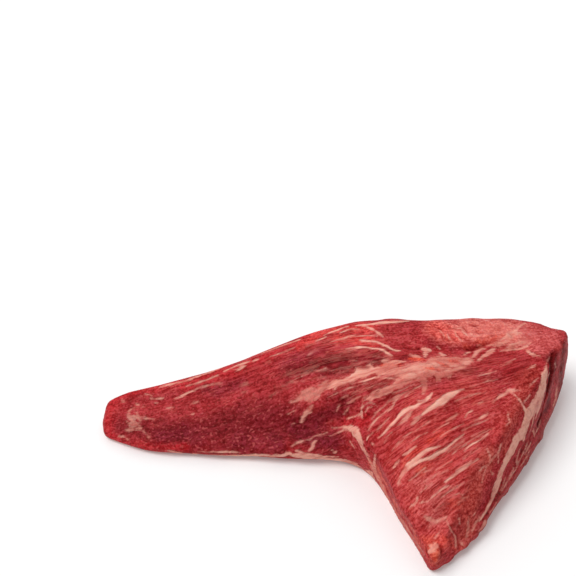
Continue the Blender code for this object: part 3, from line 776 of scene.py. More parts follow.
# Rolls. Bundles and lips that stand proud. Rows of name, height in mm, and the strokes.
ROLLS = [
    ("roll in the hollow", 0.9, [
        [(366, 399, 3), (371, 403, 4), (373, 409, 4), (369, 414, 3)],
        [(336, 398, 3), (334, 404, 3), (338, 410, 3)],
    ]),
    ("lip of the hollow", 1.0, [
        [(346, 427, 2), (353, 430, 3), (359, 436, 3.5), (364, 445, 3), (369, 454, 2.5), (374, 465, 2)],
    ]),
    ("bundle under the long seam", 0.6, [
        [(344, 392, 2.5), (358, 389, 3), (372, 387, 3), (388, 384.5, 2)],
        [(372, 398, 2), (386, 391, 3), (402, 383, 3)],
    ]),
    ("bundles on the shoulder", 0.6, [
        [(300, 366, 2), (322, 357, 3), (345, 350.5, 3), (368, 349, 3), (390, 354, 2)],
        [(352, 339.5, 2), (368, 340.5, 2.5), (386, 346, 2)],
        [(345, 329, 2), (362, 328, 3), (380, 334, 2)],
    ]),
    ("front edge of the plateau", 1.1, [
        [(444, 338, 2.5), (454, 341, 3), (464, 343.5, 3), (474, 343, 3), (484, 340, 3), (494, 337, 3),
         (504, 334, 2.5)],
    ]),
    ("meat by the cut seam", 0.7, [
        [(524, 374, 5), (520, 388, 5), (512, 402, 4)],
        [(508, 424, 4), (500, 440, 4), (492, 458, 4)],
    ]),
    ("knob", 1.0, [
        [(430, 545, 3), (434, 553, 4), (436, 560, 3)],
        [(444, 535, 3), (447, 543, 3)],
    ]),
    ("ragged edge of the cut end", 1.1, [
        [(485, 523, 1), (486.5, 528, 1.5), (486, 532, 1)],
        [(476, 541, 1), (479, 537, 1)],
        [(464, 551, 1), (468, 548, 1.2)],
        [(448, 562, 1), (453, 559, 1.2)],
        [(508, 500, 1), (511, 495, 1.2)],
        [(529, 466, 1), (532, 460, 1.2)],
        [(544, 443, 1), (546, 436, 1.5)],
    ]),
]

ROLL_FEATHER = (-3.0, 1.5)
roll_height = greatest(ROLLS, ROLL_FEATHER)

# Colours of the flesh. It is one muscle, but deep purplish red where it is thick and damp, scarlet on the
# thin edges, rosy on the broad cut face, and pink where a film of fat and sinew is left on it. Some washes
# are painted light and shade: a painted highlight along the top rims, painted shade in the hollow, under the
# long seam and in the crevice at the back of the cut end, and painted light on the flank wall and the knob.
MUSCLE = (0.400, 0.026, 0.031)
DEEP_RED = (0.205, 0.010, 0.015)
DARK_RED_PAINTED_SHADE = (0.150, 0.005, 0.007)
SHOULDER_RED = (0.165, 0.002, 0.006)
PURPLE = (0.195, 0.011, 0.022)
SCARLET = (0.490, 0.020, 0.026)
BRIGHT_RIM = (0.640, 0.046, 0.041)
ORANGE_RED = (0.660, 0.060, 0.030)
CORNER_RED = (0.530, 0.080, 0.077)
ROSY = (0.520, 0.053, 0.051)
LOW_CUT = (0.540, 0.075, 0.060)
RICH_RED = (0.340, 0.012, 0.015)
CUT_RED = (0.410, 0.042, 0.035)
OUTER_RED = (0.170, 0.001, 0.001)
LOW_OUTER_RED = (0.330, 0.035, 0.032)
LOWER_ROSY = (0.540, 0.094, 0.086)
KNOB_RED_PAINTED_LIGHT = (0.900, 0.170, 0.095)
CHALKY_RED = (0.540, 0.068, 0.055)
PINK_FILM = (0.690, 0.165, 0.135)
PALE_SKIN_AND_PAINTED_LIGHT = (0.570, 0.090, 0.066)
CORAL = (0.700, 0.105, 0.085)

# Rows of name, colour, softness in mm, strength, and wide strokes.
WASHES = [
    ("broad face", ROSY, 9.0, 0.95, [
        [(392, 428, 14), (404, 465, 18), (420, 505, 16), (434, 545, 12)],
        [(425, 415, 22), (440, 460, 26), (448, 505, 18), (448, 535, 10)],
        [(470, 392, 18), (482, 425, 18), (478, 465, 14), (470, 500, 8)],
    ]),
    ("belly of the tail", DEEP_RED, 8.0, 0.9, [
        [(122, 428, 7), (150, 430, 11), (190, 432, 14), (230, 427, 17), (270, 422, 22), (300, 428, 18),
         (325, 440, 12)],
        [(192, 443, 5), (230, 446, 6), (280, 448, 5)],
    ]),
    ("dusk on the tail", DEEP_RED, 5.0, 0.25, [
        [(128, 402, 4), (160, 399, 6), (195, 395, 6), (225, 389, 5)],
    ]),
    ("purple on the tail", PURPLE, 5.0, 0.6, [
        [(160, 438, 6), (180, 434, 8), (200, 440, 6)],
        [(206, 390, 6), (222, 388, 7), (240, 384, 5)],
        [(240, 442, 8), (280, 444, 7)],
        [(285, 365, 6), (300, 358, 6), (318, 352, 4)],
    ]),
    ("lower face", LOWER_ROSY, 8.0, 0.8, [
        [(426, 486, 14), (434, 500, 14), (438, 518, 10)],
    ]),
    ("dark by the cut edge", DEEP_RED, 5.0, 0.6, [
        [(488, 450, 5), (481, 468, 6), (475, 486, 6)],
    ]),
    # Scarlet on the thin edges, and a painted highlight along the tail's top rim.
    ("tail rim", SCARLET, 3.0, 0.9, [
        [(110, 406, 4), (118, 399, 4.5), (135, 392, 4.5), (160, 386, 4.5), (190, 380, 5), (218, 372, 5),
         (240, 364, 5), (262, 355, 5), (285, 346, 5), (305, 338, 5), (320, 332, 4)],
        [(107, 410, 3), (107, 425, 3), (110, 436, 3), (125, 444, 2.5), (150, 447, 2.5), (185, 448, 2)],
    ]),
    # A painted highlight along the shoulder's top rim.
    ("shoulder rim", BRIGHT_RIM, 3.0, 0.9, [
        [(300, 344, 3), (312, 338, 4), (322, 333, 4), (333, 329, 4), (346, 327, 4.5), (360, 327, 5),
         (374, 331, 3.5)],
        [(336, 337, 4), (350, 339, 6), (364, 341, 6), (378, 343, 4)],
    ]),
    ("right of the shoulder", CORNER_RED, 5.0, 0.10, [
        [(384, 331, 6), (398, 335, 8), (412, 338, 6)],
    ]),
    ("top film", PINK_FILM, 6.0, 0.9, [
        [(436, 328, 6), (452, 331, 10), (480, 330, 11), (505, 332, 12), (522, 333, 10)],
        [(462, 341, 3), (480, 338, 4)],
    ]),
    ("left of the top film", CORAL, 4.0, 0.9, [
        [(436, 327, 6), (446, 332, 8), (456, 337, 6)],
    ]),
    ("corner", CORNER_RED, 4.0, 0.8, [
        [(530, 332, 7), (545, 338, 9), (558, 346, 6)],
        [(530, 346, 5), (545, 350, 5)],
    ]),
    ("around the long seam", PINK_FILM, 5.0, 0.35, [
        [(300, 398, 3), (330, 386, 5), (370, 376, 8), (410, 372, 12), (440, 366, 12), (465, 362, 6)],
    ]),
    ("shadowy shoulder", SHOULDER_RED, 5.0, 0.9, [
        [(288, 375, 7), (306, 369, 7), (324, 362, 7), (345, 359, 7), (366, 359, 6), (384, 360, 3)],
        [(322, 371, 5), (345, 367, 4), (368, 367, 3)],
    ]),
    # Painted shade under the long seam and along the foot of the plateau's front edge.
    ("under the long seam", DEEP_RED, 3.0, 0.5, [
        [(330, 396, 3), (345, 389, 3), (360, 386, 3), (378, 386, 3), (395, 381, 2)],
        [(424, 385, 2), (434, 385, 3), (444, 382, 3), (456, 377, 2)],
        [(398, 357, 2), (406, 358, 2.5), (416, 356, 2)],
        [(430, 343, 3), (440, 346, 3), (452, 349, 3), (462, 350, 2.5), (470, 350.5, 2.5), (480, 348.5, 1.5)],
    ]),
    # The hollow's purple film, darkened further as painted shade down in the hollow.
    ("hollow", PURPLE, 4.0, 0.65, [
        [(318, 420, 9), (334, 410, 9), (346, 402, 6)],
        [(296, 430, 9), (318, 440, 8), (336, 440, 7)],
    ]),
    ("hollow turn", SCARLET, 2.5, 0.7, [
        [(346, 422, 2), (354, 421.5, 2.5), (362, 422, 3)],
        [(366, 416, 2), (371, 426, 2), (377, 436, 2)],
    ]),
    # The pale skin of the flank, made lighter as painted light on the steep wall that the lamps reach less;
    # the thin stroke lies along its shaded edge.
    ("flank", PALE_SKIN_AND_PAINTED_LIGHT, 1.5, 0.8, [
        [(371, 461, 2.5), (377, 474, 3), (383, 487, 3), (390, 503, 3), (400, 519, 3), (411, 537, 2.8),
         (421, 553, 2.5)],
        [(376, 464, 1.2), (380.5, 474, 1.5), (385.5, 484, 1.5), (394, 502, 1.5), (403.5, 516, 1.5),
         (412.5, 531, 1.5), (419, 543, 1)],
    ]),
    ("upper face, dark", DEEP_RED, 5.0, 0.55, [
        [(466, 371, 4), (482, 375, 5), (498, 377, 4)],
        [(516, 378, 5), (524, 386, 4)],
    ]),
    ("rich red by the cut seam", RICH_RED, 4.0, 0.6, [
        [(512, 376, 6), (526, 380, 5)],
    ]),
    ("fire in the seam", ORANGE_RED, 1.5, 0.8, [
        [(450, 361, 1.5), (456, 361, 2), (460, 363, 1)],
        [(436, 362, 1), (443, 364.5, 1.8), (449, 367, 1)],
        [(425, 368, 1), (434, 369.5, 1.6), (441, 371, 1)],
        [(410, 359, 1), (418, 358, 1.2), (426, 360, 1)],
        [(386, 365, 1.5), (394, 363, 1.5), (402, 365, 1)],
    ]),
    ("front edge of the plateau", ORANGE_RED, 1.5, 0.45, [
        [(463, 346, 1), (470, 346, 1.8), (478, 344, 2), (486, 341.5, 2), (494, 339, 1.6), (503, 336.5, 1)],
    ]),
    ("fire on the face", ORANGE_RED, 2.5, 0.5, [
        [(430, 440, 2), (438, 435, 3), (446, 430, 2.5), (453, 427, 1)],
        [(420, 469, 1.5), (427, 465, 2), (434, 461, 1)],
        [(404, 463, 1.5), (410, 456, 2.5), (418, 451, 1.5)],
        [(450, 501, 2), (456, 504, 3), (462, 508, 2)],
        [(440, 536, 2), (448, 540, 3), (454, 546, 2)],
    ]),
    ("left of the broad face", MUSCLE, 6.0, 0.55, [
        [(399, 424, 7), (396, 440, 7), (400, 456, 6)],
    ]),
    ("right of the broad face", MUSCLE, 6.0, 0.85, [
        [(478, 412, 8), (482, 435, 8), (478, 458, 6)],
    ]),
    ("cut end", CUT_RED, 4.0, 0.9, [
        [(532, 372, 9), (524, 392, 10), (512, 420, 8), (502, 448, 5)],
        [(489, 450, 4), (480, 472, 7), (474, 495, 9), (466, 520, 9)],
    ]),
    ("low on the cut end", LOW_CUT, 4.0, 0.6, [
        [(489, 455, 4), (481, 474, 6), (474, 495, 8)],
    ]),
    ("low on the outer wall", LOW_OUTER_RED, 3.0, 0.8, [
        [(551, 415, 4), (545, 428, 5), (536, 452, 5), (518, 482, 5), (500, 508, 5), (484, 530, 4)],
    ]),
    ("outer wall of the cut end", OUTER_RED, 3.0, 0.9, [
        [(564, 345, 3), (562, 372, 4), (558, 395, 4), (554, 406, 2)],
    ]),
    ("chalky corner", CHALKY_RED, 4.0, 0.8, [
        [(460, 508, 6), (470, 520, 8), (468, 534, 7), (458, 546, 4)],
    ]),
    # Painted light: the knob faces down and away from the lamps, so its red is made much brighter.
    ("knob", KNOB_RED_PAINTED_LIGHT, 4.0, 0.7, [
        [(428, 540, 5), (434, 552, 6), (436, 562, 4)],
    ]),
    ("right of the knob", BRIGHT_RIM, 3.0, 0.5, [
        [(440, 544, 4), (448, 547, 4), (453, 553, 3)],
    ]),
    # Painted shade in the crevice at the back of the cut end.
    ("back of the cut end", DARK_RED_PAINTED_SHADE, 2.5, 0.85, [
        [(555, 352, 3), (553, 362, 5), (551.5, 374, 4.5), (550, 390, 4), (548, 404, 3), (542, 416, 1.5),
         (537, 426, 1)],
    ]),
    ("pink bulge on the outer wall", CORNER_RED, 2.0, 0.7, [
        [(558, 386, 1.5), (557, 395, 2), (554, 405, 1.5)],
    ]),
]
WASH_RAGGED = 3.0
WASH_PATCH = 9.0

patchy = fractal(skin, WASH_PATCH, octaves=3)
flesh_and_painted_light = np.tile(np.array(MUSCLE), (len(skin), 1))
for area, colour, softness, strength, strokes in WASHES:
    share = strength * soft_step(-softness, softness, deepest(strokes) + WASH_RAGGED * patchy)
    flesh_and_painted_light += share[:, None] * (np.array(colour) - flesh_and_painted_light)

# The back wall was never cut or spread open, so it has one even red.
BACK_EVEN = 0.8
FACES_BACK = (0.25, 0.75)
FACES_SIDEWAYS = (0.45, 0.15)

normal = at_vertices(meat.data, "normal")
back = soft_step(*FACES_BACK, normal[:, 1]) * soft_step(*FACES_SIDEWAYS, normal[:, 2])
flesh_and_painted_light += BACK_EVEN * back[:, None] * (np.array(MUSCLE) - flesh_and_painted_light)

# How fibrous each place is. Where the grain runs along the surface it shows as long streaks, and where
# it is cut across, or under a film, the surface is granular. Rows of name, share, softness in mm, and
# strokes, laid one over the other.
TAIL_FIBROUS = 0.28
FIBROUS = [
    ("broad face and shoulder", 1.0, 10.0, [
        [(330, 350, 16), (370, 360, 22), (400, 390, 20)],
        [(392, 428, 14), (404, 465, 18), (420, 505, 16)],
        [(425, 405, 22), (440, 450, 26), (448, 500, 18)],
        [(470, 375, 18), (482, 415, 14), (470, 450, 14)],
    ]),
    ("top of the tail", 0.55, 8.0, [
        [(200, 380, 8), (240, 370, 10), (280, 358, 12)],
    ]),
    ("top film", 0.0, 5.0, [
        [(428, 330, 8), (450, 335, 12), (480, 335, 12), (505, 335, 14), (530, 338, 13), (552, 345, 9)],
    ]),
    ("cut end", 0.0, 4.0, [
        [(545, 360, 6), (530, 385, 14), (515, 430, 14), (500, 465, 12), (480, 500, 12), (464, 535, 8)],
    ]),
    ("top of the broad face", 0.8, 6.0, [
        [(498, 360, 7), (518, 364, 8), (508, 378, 6)],
    ]),
    ("lower face", 0.4, 8.0, [
        [(404, 478, 8), (418, 500, 12), (432, 520, 14)],
        [(450, 500, 8), (458, 480, 6)],
    ]),
    ("knob", 0.2, 4.0, [
        [(432, 540, 8), (440, 550, 8)],
    ]),
]

fibrous = np.full(len(skin), TAIL_FIBROUS)
for area, level, softness, strokes in FIBROUS:
    fibrous += soft_step(-softness, softness, deepest(strokes)) * (level - fibrous)

# How smooth each place is, where a film lies over the meat. Rows of share, softness in mm, and stroke.
FILM = [
    (0.5, 4.0, [(430, 332, 5), (446, 334, 8), (462, 337, 7)]),
    (1.0, 5.0, [(472, 331, 9), (490, 332, 11), (510, 332, 11), (522, 333, 9)]),
    (0.4, 5.0, [(522, 334, 9), (540, 339, 9), (556, 346, 9)]),
    (0.7, 3.0, [(374, 468, 3), (383, 487, 4), (394, 509, 4), (408, 531, 4), (422, 552, 3)]),
    (0.6, 4.0, [(428, 538, 5), (434, 550, 7), (437, 562, 5)]),
    (0.6, 3.0, [(562, 345, 3), (560, 372, 5), (556, 400, 5)]),
]


def most_of(rows):
    """The greatest share that any of the rows gives to each vertex."""
    most = np.zeros(len(skin))
    for share, softness, stroke in rows:
        most = np.maximum(most, share * soft_step(-softness, softness, depth_in(stroke)))
    return most


film = most_of(FILM)

# Where fine threads of sinew show between the bundles: on the shoulder, under the long seam and high on
# the broad face. Rows of share, softness in mm, and stroke.
THREADS = [
    (0.25, 4.0, [(288, 376, 5), (310, 365, 8), (336, 358, 9), (362, 355, 8), (386, 358, 4)]),
    (0.4, 4.0, [(312, 346, 4), (336, 337, 5), (364, 337, 5)]),
    (0.5, 4.0, [(352, 394, 4), (372, 390, 5), (396, 386, 4)]),
    (0.4, 5.0, [(470, 372, 8), (500, 368, 8), (508, 384, 7), (494, 410, 6)]),
]
threads = most_of(THREADS)

# Skin underneath. The side that lies on the table keeps its thin pale cover of fat, which turns up a
# little round the walls of the tail and the flanks, higher up the back, but not up the cut end.
COVER_HEIGHT = 3.0
COVER_UP_THE_BACK = 6.0
COVER_RAGGED = 6.0
COVER_UNEVEN = 1.5
COVER_WHOLE = 0.4
FACES_DOWNWARD = (0.35, 0.85)
FACES_RIGHT = (0.35, 0.75)
BY_THE_CUT_END = (20.0, 45.0)

cut_end = soft_step(*FACES_RIGHT, normal[:, 0]) * soft_step(*BY_THE_CUT_END, skin[:, 0])
cover = soft_step(*FACES_DOWNWARD, -normal[:, 2])
cover_height = COVER_HEIGHT + back * (COVER_UP_THE_BACK + COVER_RAGGED * patchy)
turned_up = soft_step(cover_height, COVER_WHOLE * cover_height, skin[:, 2] + COVER_UNEVEN * patchy)
cover = np.maximum(cover, turned_up * (1 - cut_end))

# Relief. The bundles stand up in soft ridges along the grain, films of skin are knobbly, the fat is a
# little proud of the meat it lies on, the folds are drawn in, and the back wall swells and sinks gently.
RIDGE_SIZE = (30.0, 3.4, 3.4)
RIDGE_HEIGHT = 0.45
CORD_SIZE = (60.0, 9.0, 9.0)
CORD_HEIGHT = 0.75
FAT_HEIGHT = 0.45
KNOB_SIZE = 4.5
KNOB_HEIGHT = 0.8
SWELL_SIZE = (46.0, 13.0, 13.0)
SWELL_HEIGHT = 3.0
SWELL_SHIFT = 90.0
SWELL_SINKS = 0.3
GRANULAR_RIDGES = 0.4
FAT_RISES = (-0.5, 2.0)
UNDER_FAT = (0.0, 2.0)
FLATTER_UNDER_FAT = 0.6
RELIEF_STARTS = (0.4, 4.0)
LOWEST = 0.1

ridges = RIDGE_HEIGHT * fractal(grain, RIDGE_SIZE, octaves=2)
ridges += CORD_HEIGHT * fractal(grain, CORD_SIZE, octaves=1)
ridges *= GRANULAR_RIDGES + (1 - GRANULAR_RIDGES) * fibrous
ridges += KNOB_HEIGHT * film * fractal(skin, KNOB_SIZE, octaves=2)
ridges += SWELL_HEIGHT * back * (fractal(grain + SWELL_SHIFT, SWELL_SIZE, octaves=2) - SWELL_SINKS)
proud = FAT_HEIGHT * fat_strength * soft_step(*FAT_RISES, fat_depth)
flatter = 1 - FLATTER_UNDER_FAT * soft_step(*UNDER_FAT, fat_depth)
relief = ridges * flatter + proud + roll_height - fold_depth
relief *= soft_step(*RELIEF_STARTS, skin[:, 2])
raised = skin + relief[:, None] * normal
raised[:, 2] = np.maximum(raised[:, 2], np.minimum(skin[:, 2], LOWEST))
meat.data.vertices.foreach_set("co", (raised * MM).astype(np.float32).ravel())
meat.data.update()

# What the material needs to know at each vertex.
FAR_FROM_FAT = -3.0
values_kept = {
    "fat_depth": np.maximum(fat_depth, FAR_FROM_FAT),
    "fat_strength": fat_strength,
    "fat_pale": fat_pale,
    "cover": cover,
    "fibrous": fibrous,
    "film": film,
    "threads": threads,
    "back": back,
    "fold": fold_depth,
}


def keep(name, kind, field, rows):
    layer = meat.data.attributes.new(name, kind, "POINT")
    layer.data.foreach_set(field, rows.astype(np.float32).ravel())


for name, values in values_kept.items():
    keep(name, "FLOAT", "value", values)
keep("grain", "FLOAT_VECTOR", "vector", grain)
keep("flesh_and_painted_light", "FLOAT_COLOR", "color", np.column_stack([flesh_and_painted_light, np.ones(len(flesh_and_painted_light))]))

# Raw beef. Damp lean meat is finely streaked along its fibres; fat is paler, waxier and ragged at its
# edges, and stray flecks of it lie in the lean. A row is a noise's size in mm along, across and below
# the grain, or one size each way.
FIBRE = (8.0, 1.05, 1.05)
HAIR = (14.0, 0.8, 0.8)
STRAND = (40.0, 4.2, 4.2)
GAP = (24.0, 3.0, 3.0)
SINEW = (24.0, 2.2, 2.2)
FLECK = (1.6, 0.75, 0.75)
SMEAR = (26.0, 4.5, 4.5)
THREAD = (70.0, 2.3, 2.3)
PIT = (1.9, 1.2, 1.2)
FAT_EDGE = (5.0, 1.0, 1.0)
CRUMB = (1.35, 1.35, 1.35)
KNOT = (3.6, 3.6, 3.6)
PATCH = (22.0, 22.0, 22.0)
SWAY = (6.0, 6.0, 6.0)
SWAY_BY = 1.7
SWAY_FULL = 1.25
FAT_COLOUR = (0.860, 0.430, 0.335, 1.0)
FAT_DULL = (0.650, 0.200, 0.155, 1.0)
SINEW_PINK = (0.650, 0.125, 0.100, 1.0)
THREAD_PINK = (0.720, 0.190, 0.150, 1.0)
FLECK_PINK = (0.640, 0.120, 0.115, 1.0)
COVER_COLOUR = (0.700, 0.270, 0.210, 1.0)
MIDDLE = 0.5
LINE_CORE = 0.3

beef = bpy.data.materials.new("raw_beef")
beef.use_nodes = True
tree = beef.node_tree
tree.nodes.clear()


def wire(socket, value):
    """Links a socket, or sets it to a plain value."""
    if isinstance(value, bpy.types.NodeSocket):
        tree.links.new(value, socket)
    else:
        socket.default_value = value


def attribute(name, output="Fac"):
    made = tree.nodes.new("ShaderNodeAttribute")
    made.attribute_name = name
    return made.outputs[output]


def maths(operation, *values):
    made = tree.nodes.new("ShaderNodeMath")
    made.operation = operation
    for socket, value in zip(made.inputs, values):
        wire(socket, value)
    return made.outputs[0]


def times(one, other):
    return maths("MULTIPLY", one, other)


def plus(one, other):
    return maths("ADD", one, other)


def less(one, other):
    return maths("SUBTRACT", one, other)


def weighed(*pairs):
    """The sum of values, each with its share."""
    total = times(*pairs[0])
    for value, share in pairs[1:]:
        total = maths("MULTIPLY_ADD", value, share, total)
    return total


def ramp(value, low, high, to_low=0.0, to_high=1.0):
    """Maps a value smoothly from one range to another."""
    made = tree.nodes.new("ShaderNodeMapRange")
    made.interpolation_type = "SMOOTHSTEP"
    given = {"Value": value, "From Min": low, "From Max": high, "To Min": to_low, "To Max": to_high}
    for name, number in given.items():
        wire(made.inputs[name], number)
    return made.outputs[0]


def vector_maths(operation, *values):
    made = tree.nodes.new("ShaderNodeVectorMath")
    made.operation = operation
    for socket, value in zip(made.inputs, values):
        wire(socket, value)
    return made.outputs[0]


def noise_of(vector, size, detail, roughness=0.5, shift=0.0):
    """Noise with grains of the given size along each coordinate. The shift keeps noises apart."""
    scaled = vector_maths("MULTIPLY_ADD", vector, [1 / s for s in size], (shift, shift, shift))
    made = tree.nodes.new("ShaderNodeTexNoise")
    wire(made.inputs["Vector"], scaled)
    wire(made.inputs["Scale"], 1.0)
    wire(made.inputs["Detail"], detail)
    wire(made.inputs["Roughness"], roughness)
    return made.outputs[0]


def line_at(value, half):
    """A thin line where a noise crosses its middle."""
    return ramp(maths("ABSOLUTE", less(value, MIDDLE)), half * LINE_CORE, half, 1.0, 0.0)


def joined(x, y, z):
    made = tree.nodes.new("ShaderNodeCombineXYZ")
    for socket, value in zip(made.inputs, (x, y, z)):
        wire(socket, value)
    return made.outputs[0]


def mixed(share, one, other):
    made = tree.nodes.new("ShaderNodeMix")
    made.data_type = "RGBA"
    wire(made.inputs[0], share)
    wire(made.inputs[6], one)
    wire(made.inputs[7], other)
    return made.outputs[2]


# The grain's coordinates sway a little across the fibres, most where the meat is granular.
grain_still = attribute("grain", "Vector")
fibrous_at = attribute("fibrous")
object_at = tree.nodes.new("ShaderNodeTexCoord").outputs["Object"]
place = vector_maths("MULTIPLY", object_at, (1000.0, 1000.0, 1000.0))
sway_by = times(less(SWAY_FULL, fibrous_at), SWAY_BY)
sway = times(less(noise_of(place, SWAY, detail=1.0, shift=2.2), MIDDLE), sway_by)
grain_at = vector_maths("ADD", grain_still, joined(0.0, sway, 0.0))

fibre = noise_of(grain_at, FIBRE, detail=3.0, roughness=0.55)
hair = noise_of(grain_at, HAIR, detail=1.0, shift=33.7)
strand = noise_of(grain_at, STRAND, detail=2.0, shift=7.3)
gap = noise_of(grain_at, GAP, detail=2.0, shift=19.4)
sinew = noise_of(grain_at, SINEW, detail=2.0, shift=27.1)
crumb = noise_of(place, CRUMB, detail=2.0, roughness=0.6)
knot = noise_of(place, KNOT, detail=2.0, roughness=0.6, shift=4.4)
pits = noise_of(grain_at, PIT, detail=1.0, shift=41.3)
fleck = noise_of(grain_still, FLECK, detail=0.0, shift=3.1)
thread = noise_of(grain_at, THREAD, detail=0.0, shift=71.0)
patch = noise_of(place, PATCH, detail=2.0)
edge = noise_of(grain_at, FAT_EDGE, detail=3.0, roughness=0.6, shift=11.7)

# The lean's streaks. Tones multiply the flesh's colour: streaks, broad patches, the dark crevices
# between fibres, and small pits. The streaks are partly the fibres' own colour and partly painted light
# and shade, lighter on the crowns and darker in the low places of the relief that the bump also follows;
# the darker crevices and pits are painted shade. A film on the meat halves the contrast of its streaks and
# pits.
STREAK = (0.40, 0.60)
STREAK_TONES = (0.66, 1.30)
PATCHES = (0.35, 0.65)
PATCH_TONES = (0.92, 1.08)
CREVICE = 0.035
CREVICE_PAINTED_SHADE = 0.84
PITTED = (0.33, 0.42)
PIT_PAINTED_SHADE = 0.76
FIBROUS_PITS = (0.3, 0.9, 1.0, 0.4)
UNDER_FILM = 0.50
REDDER = 2.5


def deepened(colour, tone):
    """The colour under a tone: meat turns redder where it is dark, and pinker where it is light."""
    cooler = maths("POWER", tone, REDDER)
    return vector_maths("MULTIPLY", colour, joined(tone, cooler, cooler))


along_grain = less(weighed((fibre, 0.46), (hair, 0.30), (strand, 0.14), (crumb, 0.20)), 0.05)
granular = less(weighed((crumb, 0.48), (knot, 0.26), (fibre, 0.32)), 0.03)
streak = plus(times(along_grain, fibrous_at), times(granular, less(1.0, fibrous_at)))
crevice = times(line_at(gap, CREVICE), fibrous_at)
contrast = ramp(attribute("film"), 0.0, 1.0, 1.0, UNDER_FILM)
pit = times(ramp(pits, *PITTED, 1.0, 0.0), times(contrast, ramp(fibrous_at, *FIBROUS_PITS)))
tone = times(less(ramp(streak, *STREAK, *STREAK_TONES), 1.0), contrast)
tone = plus(tone, ramp(patch, *PATCHES, *PATCH_TONES))
tone = times(tone, ramp(crevice, 0.0, 1.0, 1.0, CREVICE_PAINTED_SHADE))
tone = times(tone, ramp(pit, 0.0, 1.0, 1.0, PIT_PAINTED_SHADE))
flesh_and_painted_light_at = attribute("flesh_and_painted_light", "Color")
lean = deepened(flesh_and_painted_light_at, tone)

# Sinew and flecks in the lean. Pale hairs and lines lie along the fibres, fewer on dark flesh, and
# stray flecks of fat gather in patches.
HAIRS = (0.56, 0.70, 0.0, 0.28)
SINEW_LINE = 0.026
SINEW_PATCHES = (0.36, 0.58, 0.0, 0.65)
ON_DARK_FLESH = (0.15, 0.38, 0.20, 1.0)
FLECKS = (0.62, 0.74)
FLECK_PATCHES = (0.40, 0.60, 0.20, 0.50)
THREAD_LINE = 0.030

channels = tree.nodes.new("ShaderNodeSeparateColor")
wire(channels.inputs[0], flesh_and_painted_light_at)
veil = times(fibrous_at, ramp(channels.outputs[0], *ON_DARK_FLESH))
lean = mixed(times(ramp(hair, *HAIRS), veil), lean, SINEW_PINK)
lean = mixed(times(line_at(sinew, SINEW_LINE), times(veil, ramp(patch, *SINEW_PATCHES))), lean, SINEW_PINK)
lean = mixed(times(ramp(fleck, *FLECKS), ramp(patch, *FLECK_PATCHES)), lean, FLECK_PINK)
lean = mixed(times(line_at(thread, THREAD_LINE), attribute("threads")), lean, THREAD_PINK)

# The back wall, where the fat cap was pulled away, keeps long smears and threads of fat.
SMEARS = (0.59, 0.68, 0.0, 0.75)
BACK_THREAD = 0.035
BACK_PATCHES = (0.42, 0.58, 0.0, 0.5)

back_at = attribute("back")
smear = noise_of(grain_at, SMEAR, detail=3.0, roughness=0.55, shift=61.0)
smeared = times(ramp(smear, *SMEARS), back_at)
threaded = times(line_at(sinew, BACK_THREAD), times(back_at, ramp(patch, *BACK_PATCHES)))
lean = mixed(maths("MAXIMUM", smeared, threaded), lean, mixed(ramp(streak, *STREAK), FAT_DULL, FAT_COLOUR))

# The seams and films of fat. Pale fat is thick, with a clear edge and an even face; dull fat is a thin
# film, ragged and patchy, and lets the lean show through.
PALENESS = (0.2, 0.9)
THIN_OR_THICK = (0.22, 0.36)
EDGE_RAGGED = (4.0, 1.4)
EDGE_STARTS = (-1.3, -0.60)
EDGE_ENDS = (1.6, 0.75)
BLOTCHES = (0.40, 0.54)
BLOTCH_SHARES = (0.74, 0.88)
BLOTCH_TONES = 3.0

pale = attribute("fat_pale")
ragged_by = times(less(edge, MIDDLE), ramp(pale, *PALENESS, *EDGE_RAGGED))
edge_starts = ramp(pale, *THIN_OR_THICK, *EDGE_STARTS)
edge_ends = ramp(pale, *THIN_OR_THICK, *EDGE_ENDS)
fat_share = ramp(plus(attribute("fat_depth"), ragged_by), edge_starts, edge_ends)
fat_share = times(fat_share, attribute("fat_strength"))
blotch = weighed((edge, 0.5), (strand, 0.5))
fat_share = times(fat_share, ramp(blotch, *BLOTCHES, ramp(pale, *PALENESS, *BLOTCH_SHARES), 1.0))
fat_tone = plus(pale, times(less(blotch, MIDDLE), BLOTCH_TONES))
fat = mixed(ramp(fat_tone, 0.0, 1.0), FAT_DULL, FAT_COLOUR)
surface_colour = mixed(fat_share, lean, fat)

# The thin cover of fat underneath, and painted shade down in the folds.
COVER_PATCHY = 0.8
COVERED = (0.30, 0.75)
COVER_STREAKS = (0.25, 0.85)
COVER_SHARE = 0.9
FOLD_PAINTED_SHADE = 0.50

cover_share = ramp(plus(attribute("cover"), times(less(patch, MIDDLE), COVER_PATCHY)), *COVERED)
cover_colour = mixed(ramp(streak, *STREAK, *COVER_STREAKS), flesh_and_painted_light_at, COVER_COLOUR)
surface_colour = mixed(times(cover_share, COVER_SHARE), surface_colour, cover_colour)
surface_colour = deepened(surface_colour, ramp(attribute("fold"), 0.0, 1.0, 1.0, FOLD_PAINTED_SHADE))

# The damp surface. Fibres stand up and are softened under fat; pits and crevices sink in. It shines
# least where it is granular, and light goes a little way into it.
BUMP_HEIGHT = 0.0017
BUMP_UNDER_FAT = 0.35
BUMP_ON_FIBRES = (0.0, 0.7, 0.45, 1.0)
PIT_DEPTH = 0.05
CREVICE_DEPTH = 0.08
FAT_STANDS = 0.12
DAMP = (0.3, 0.7, 0.38, 0.52)
FAT_DULLER = 0.06
GRANULAR_DULLER = (0.0, 0.4, 0.28, 0.0)
NOT_UNDER_FILM = (0.6, 1.0)

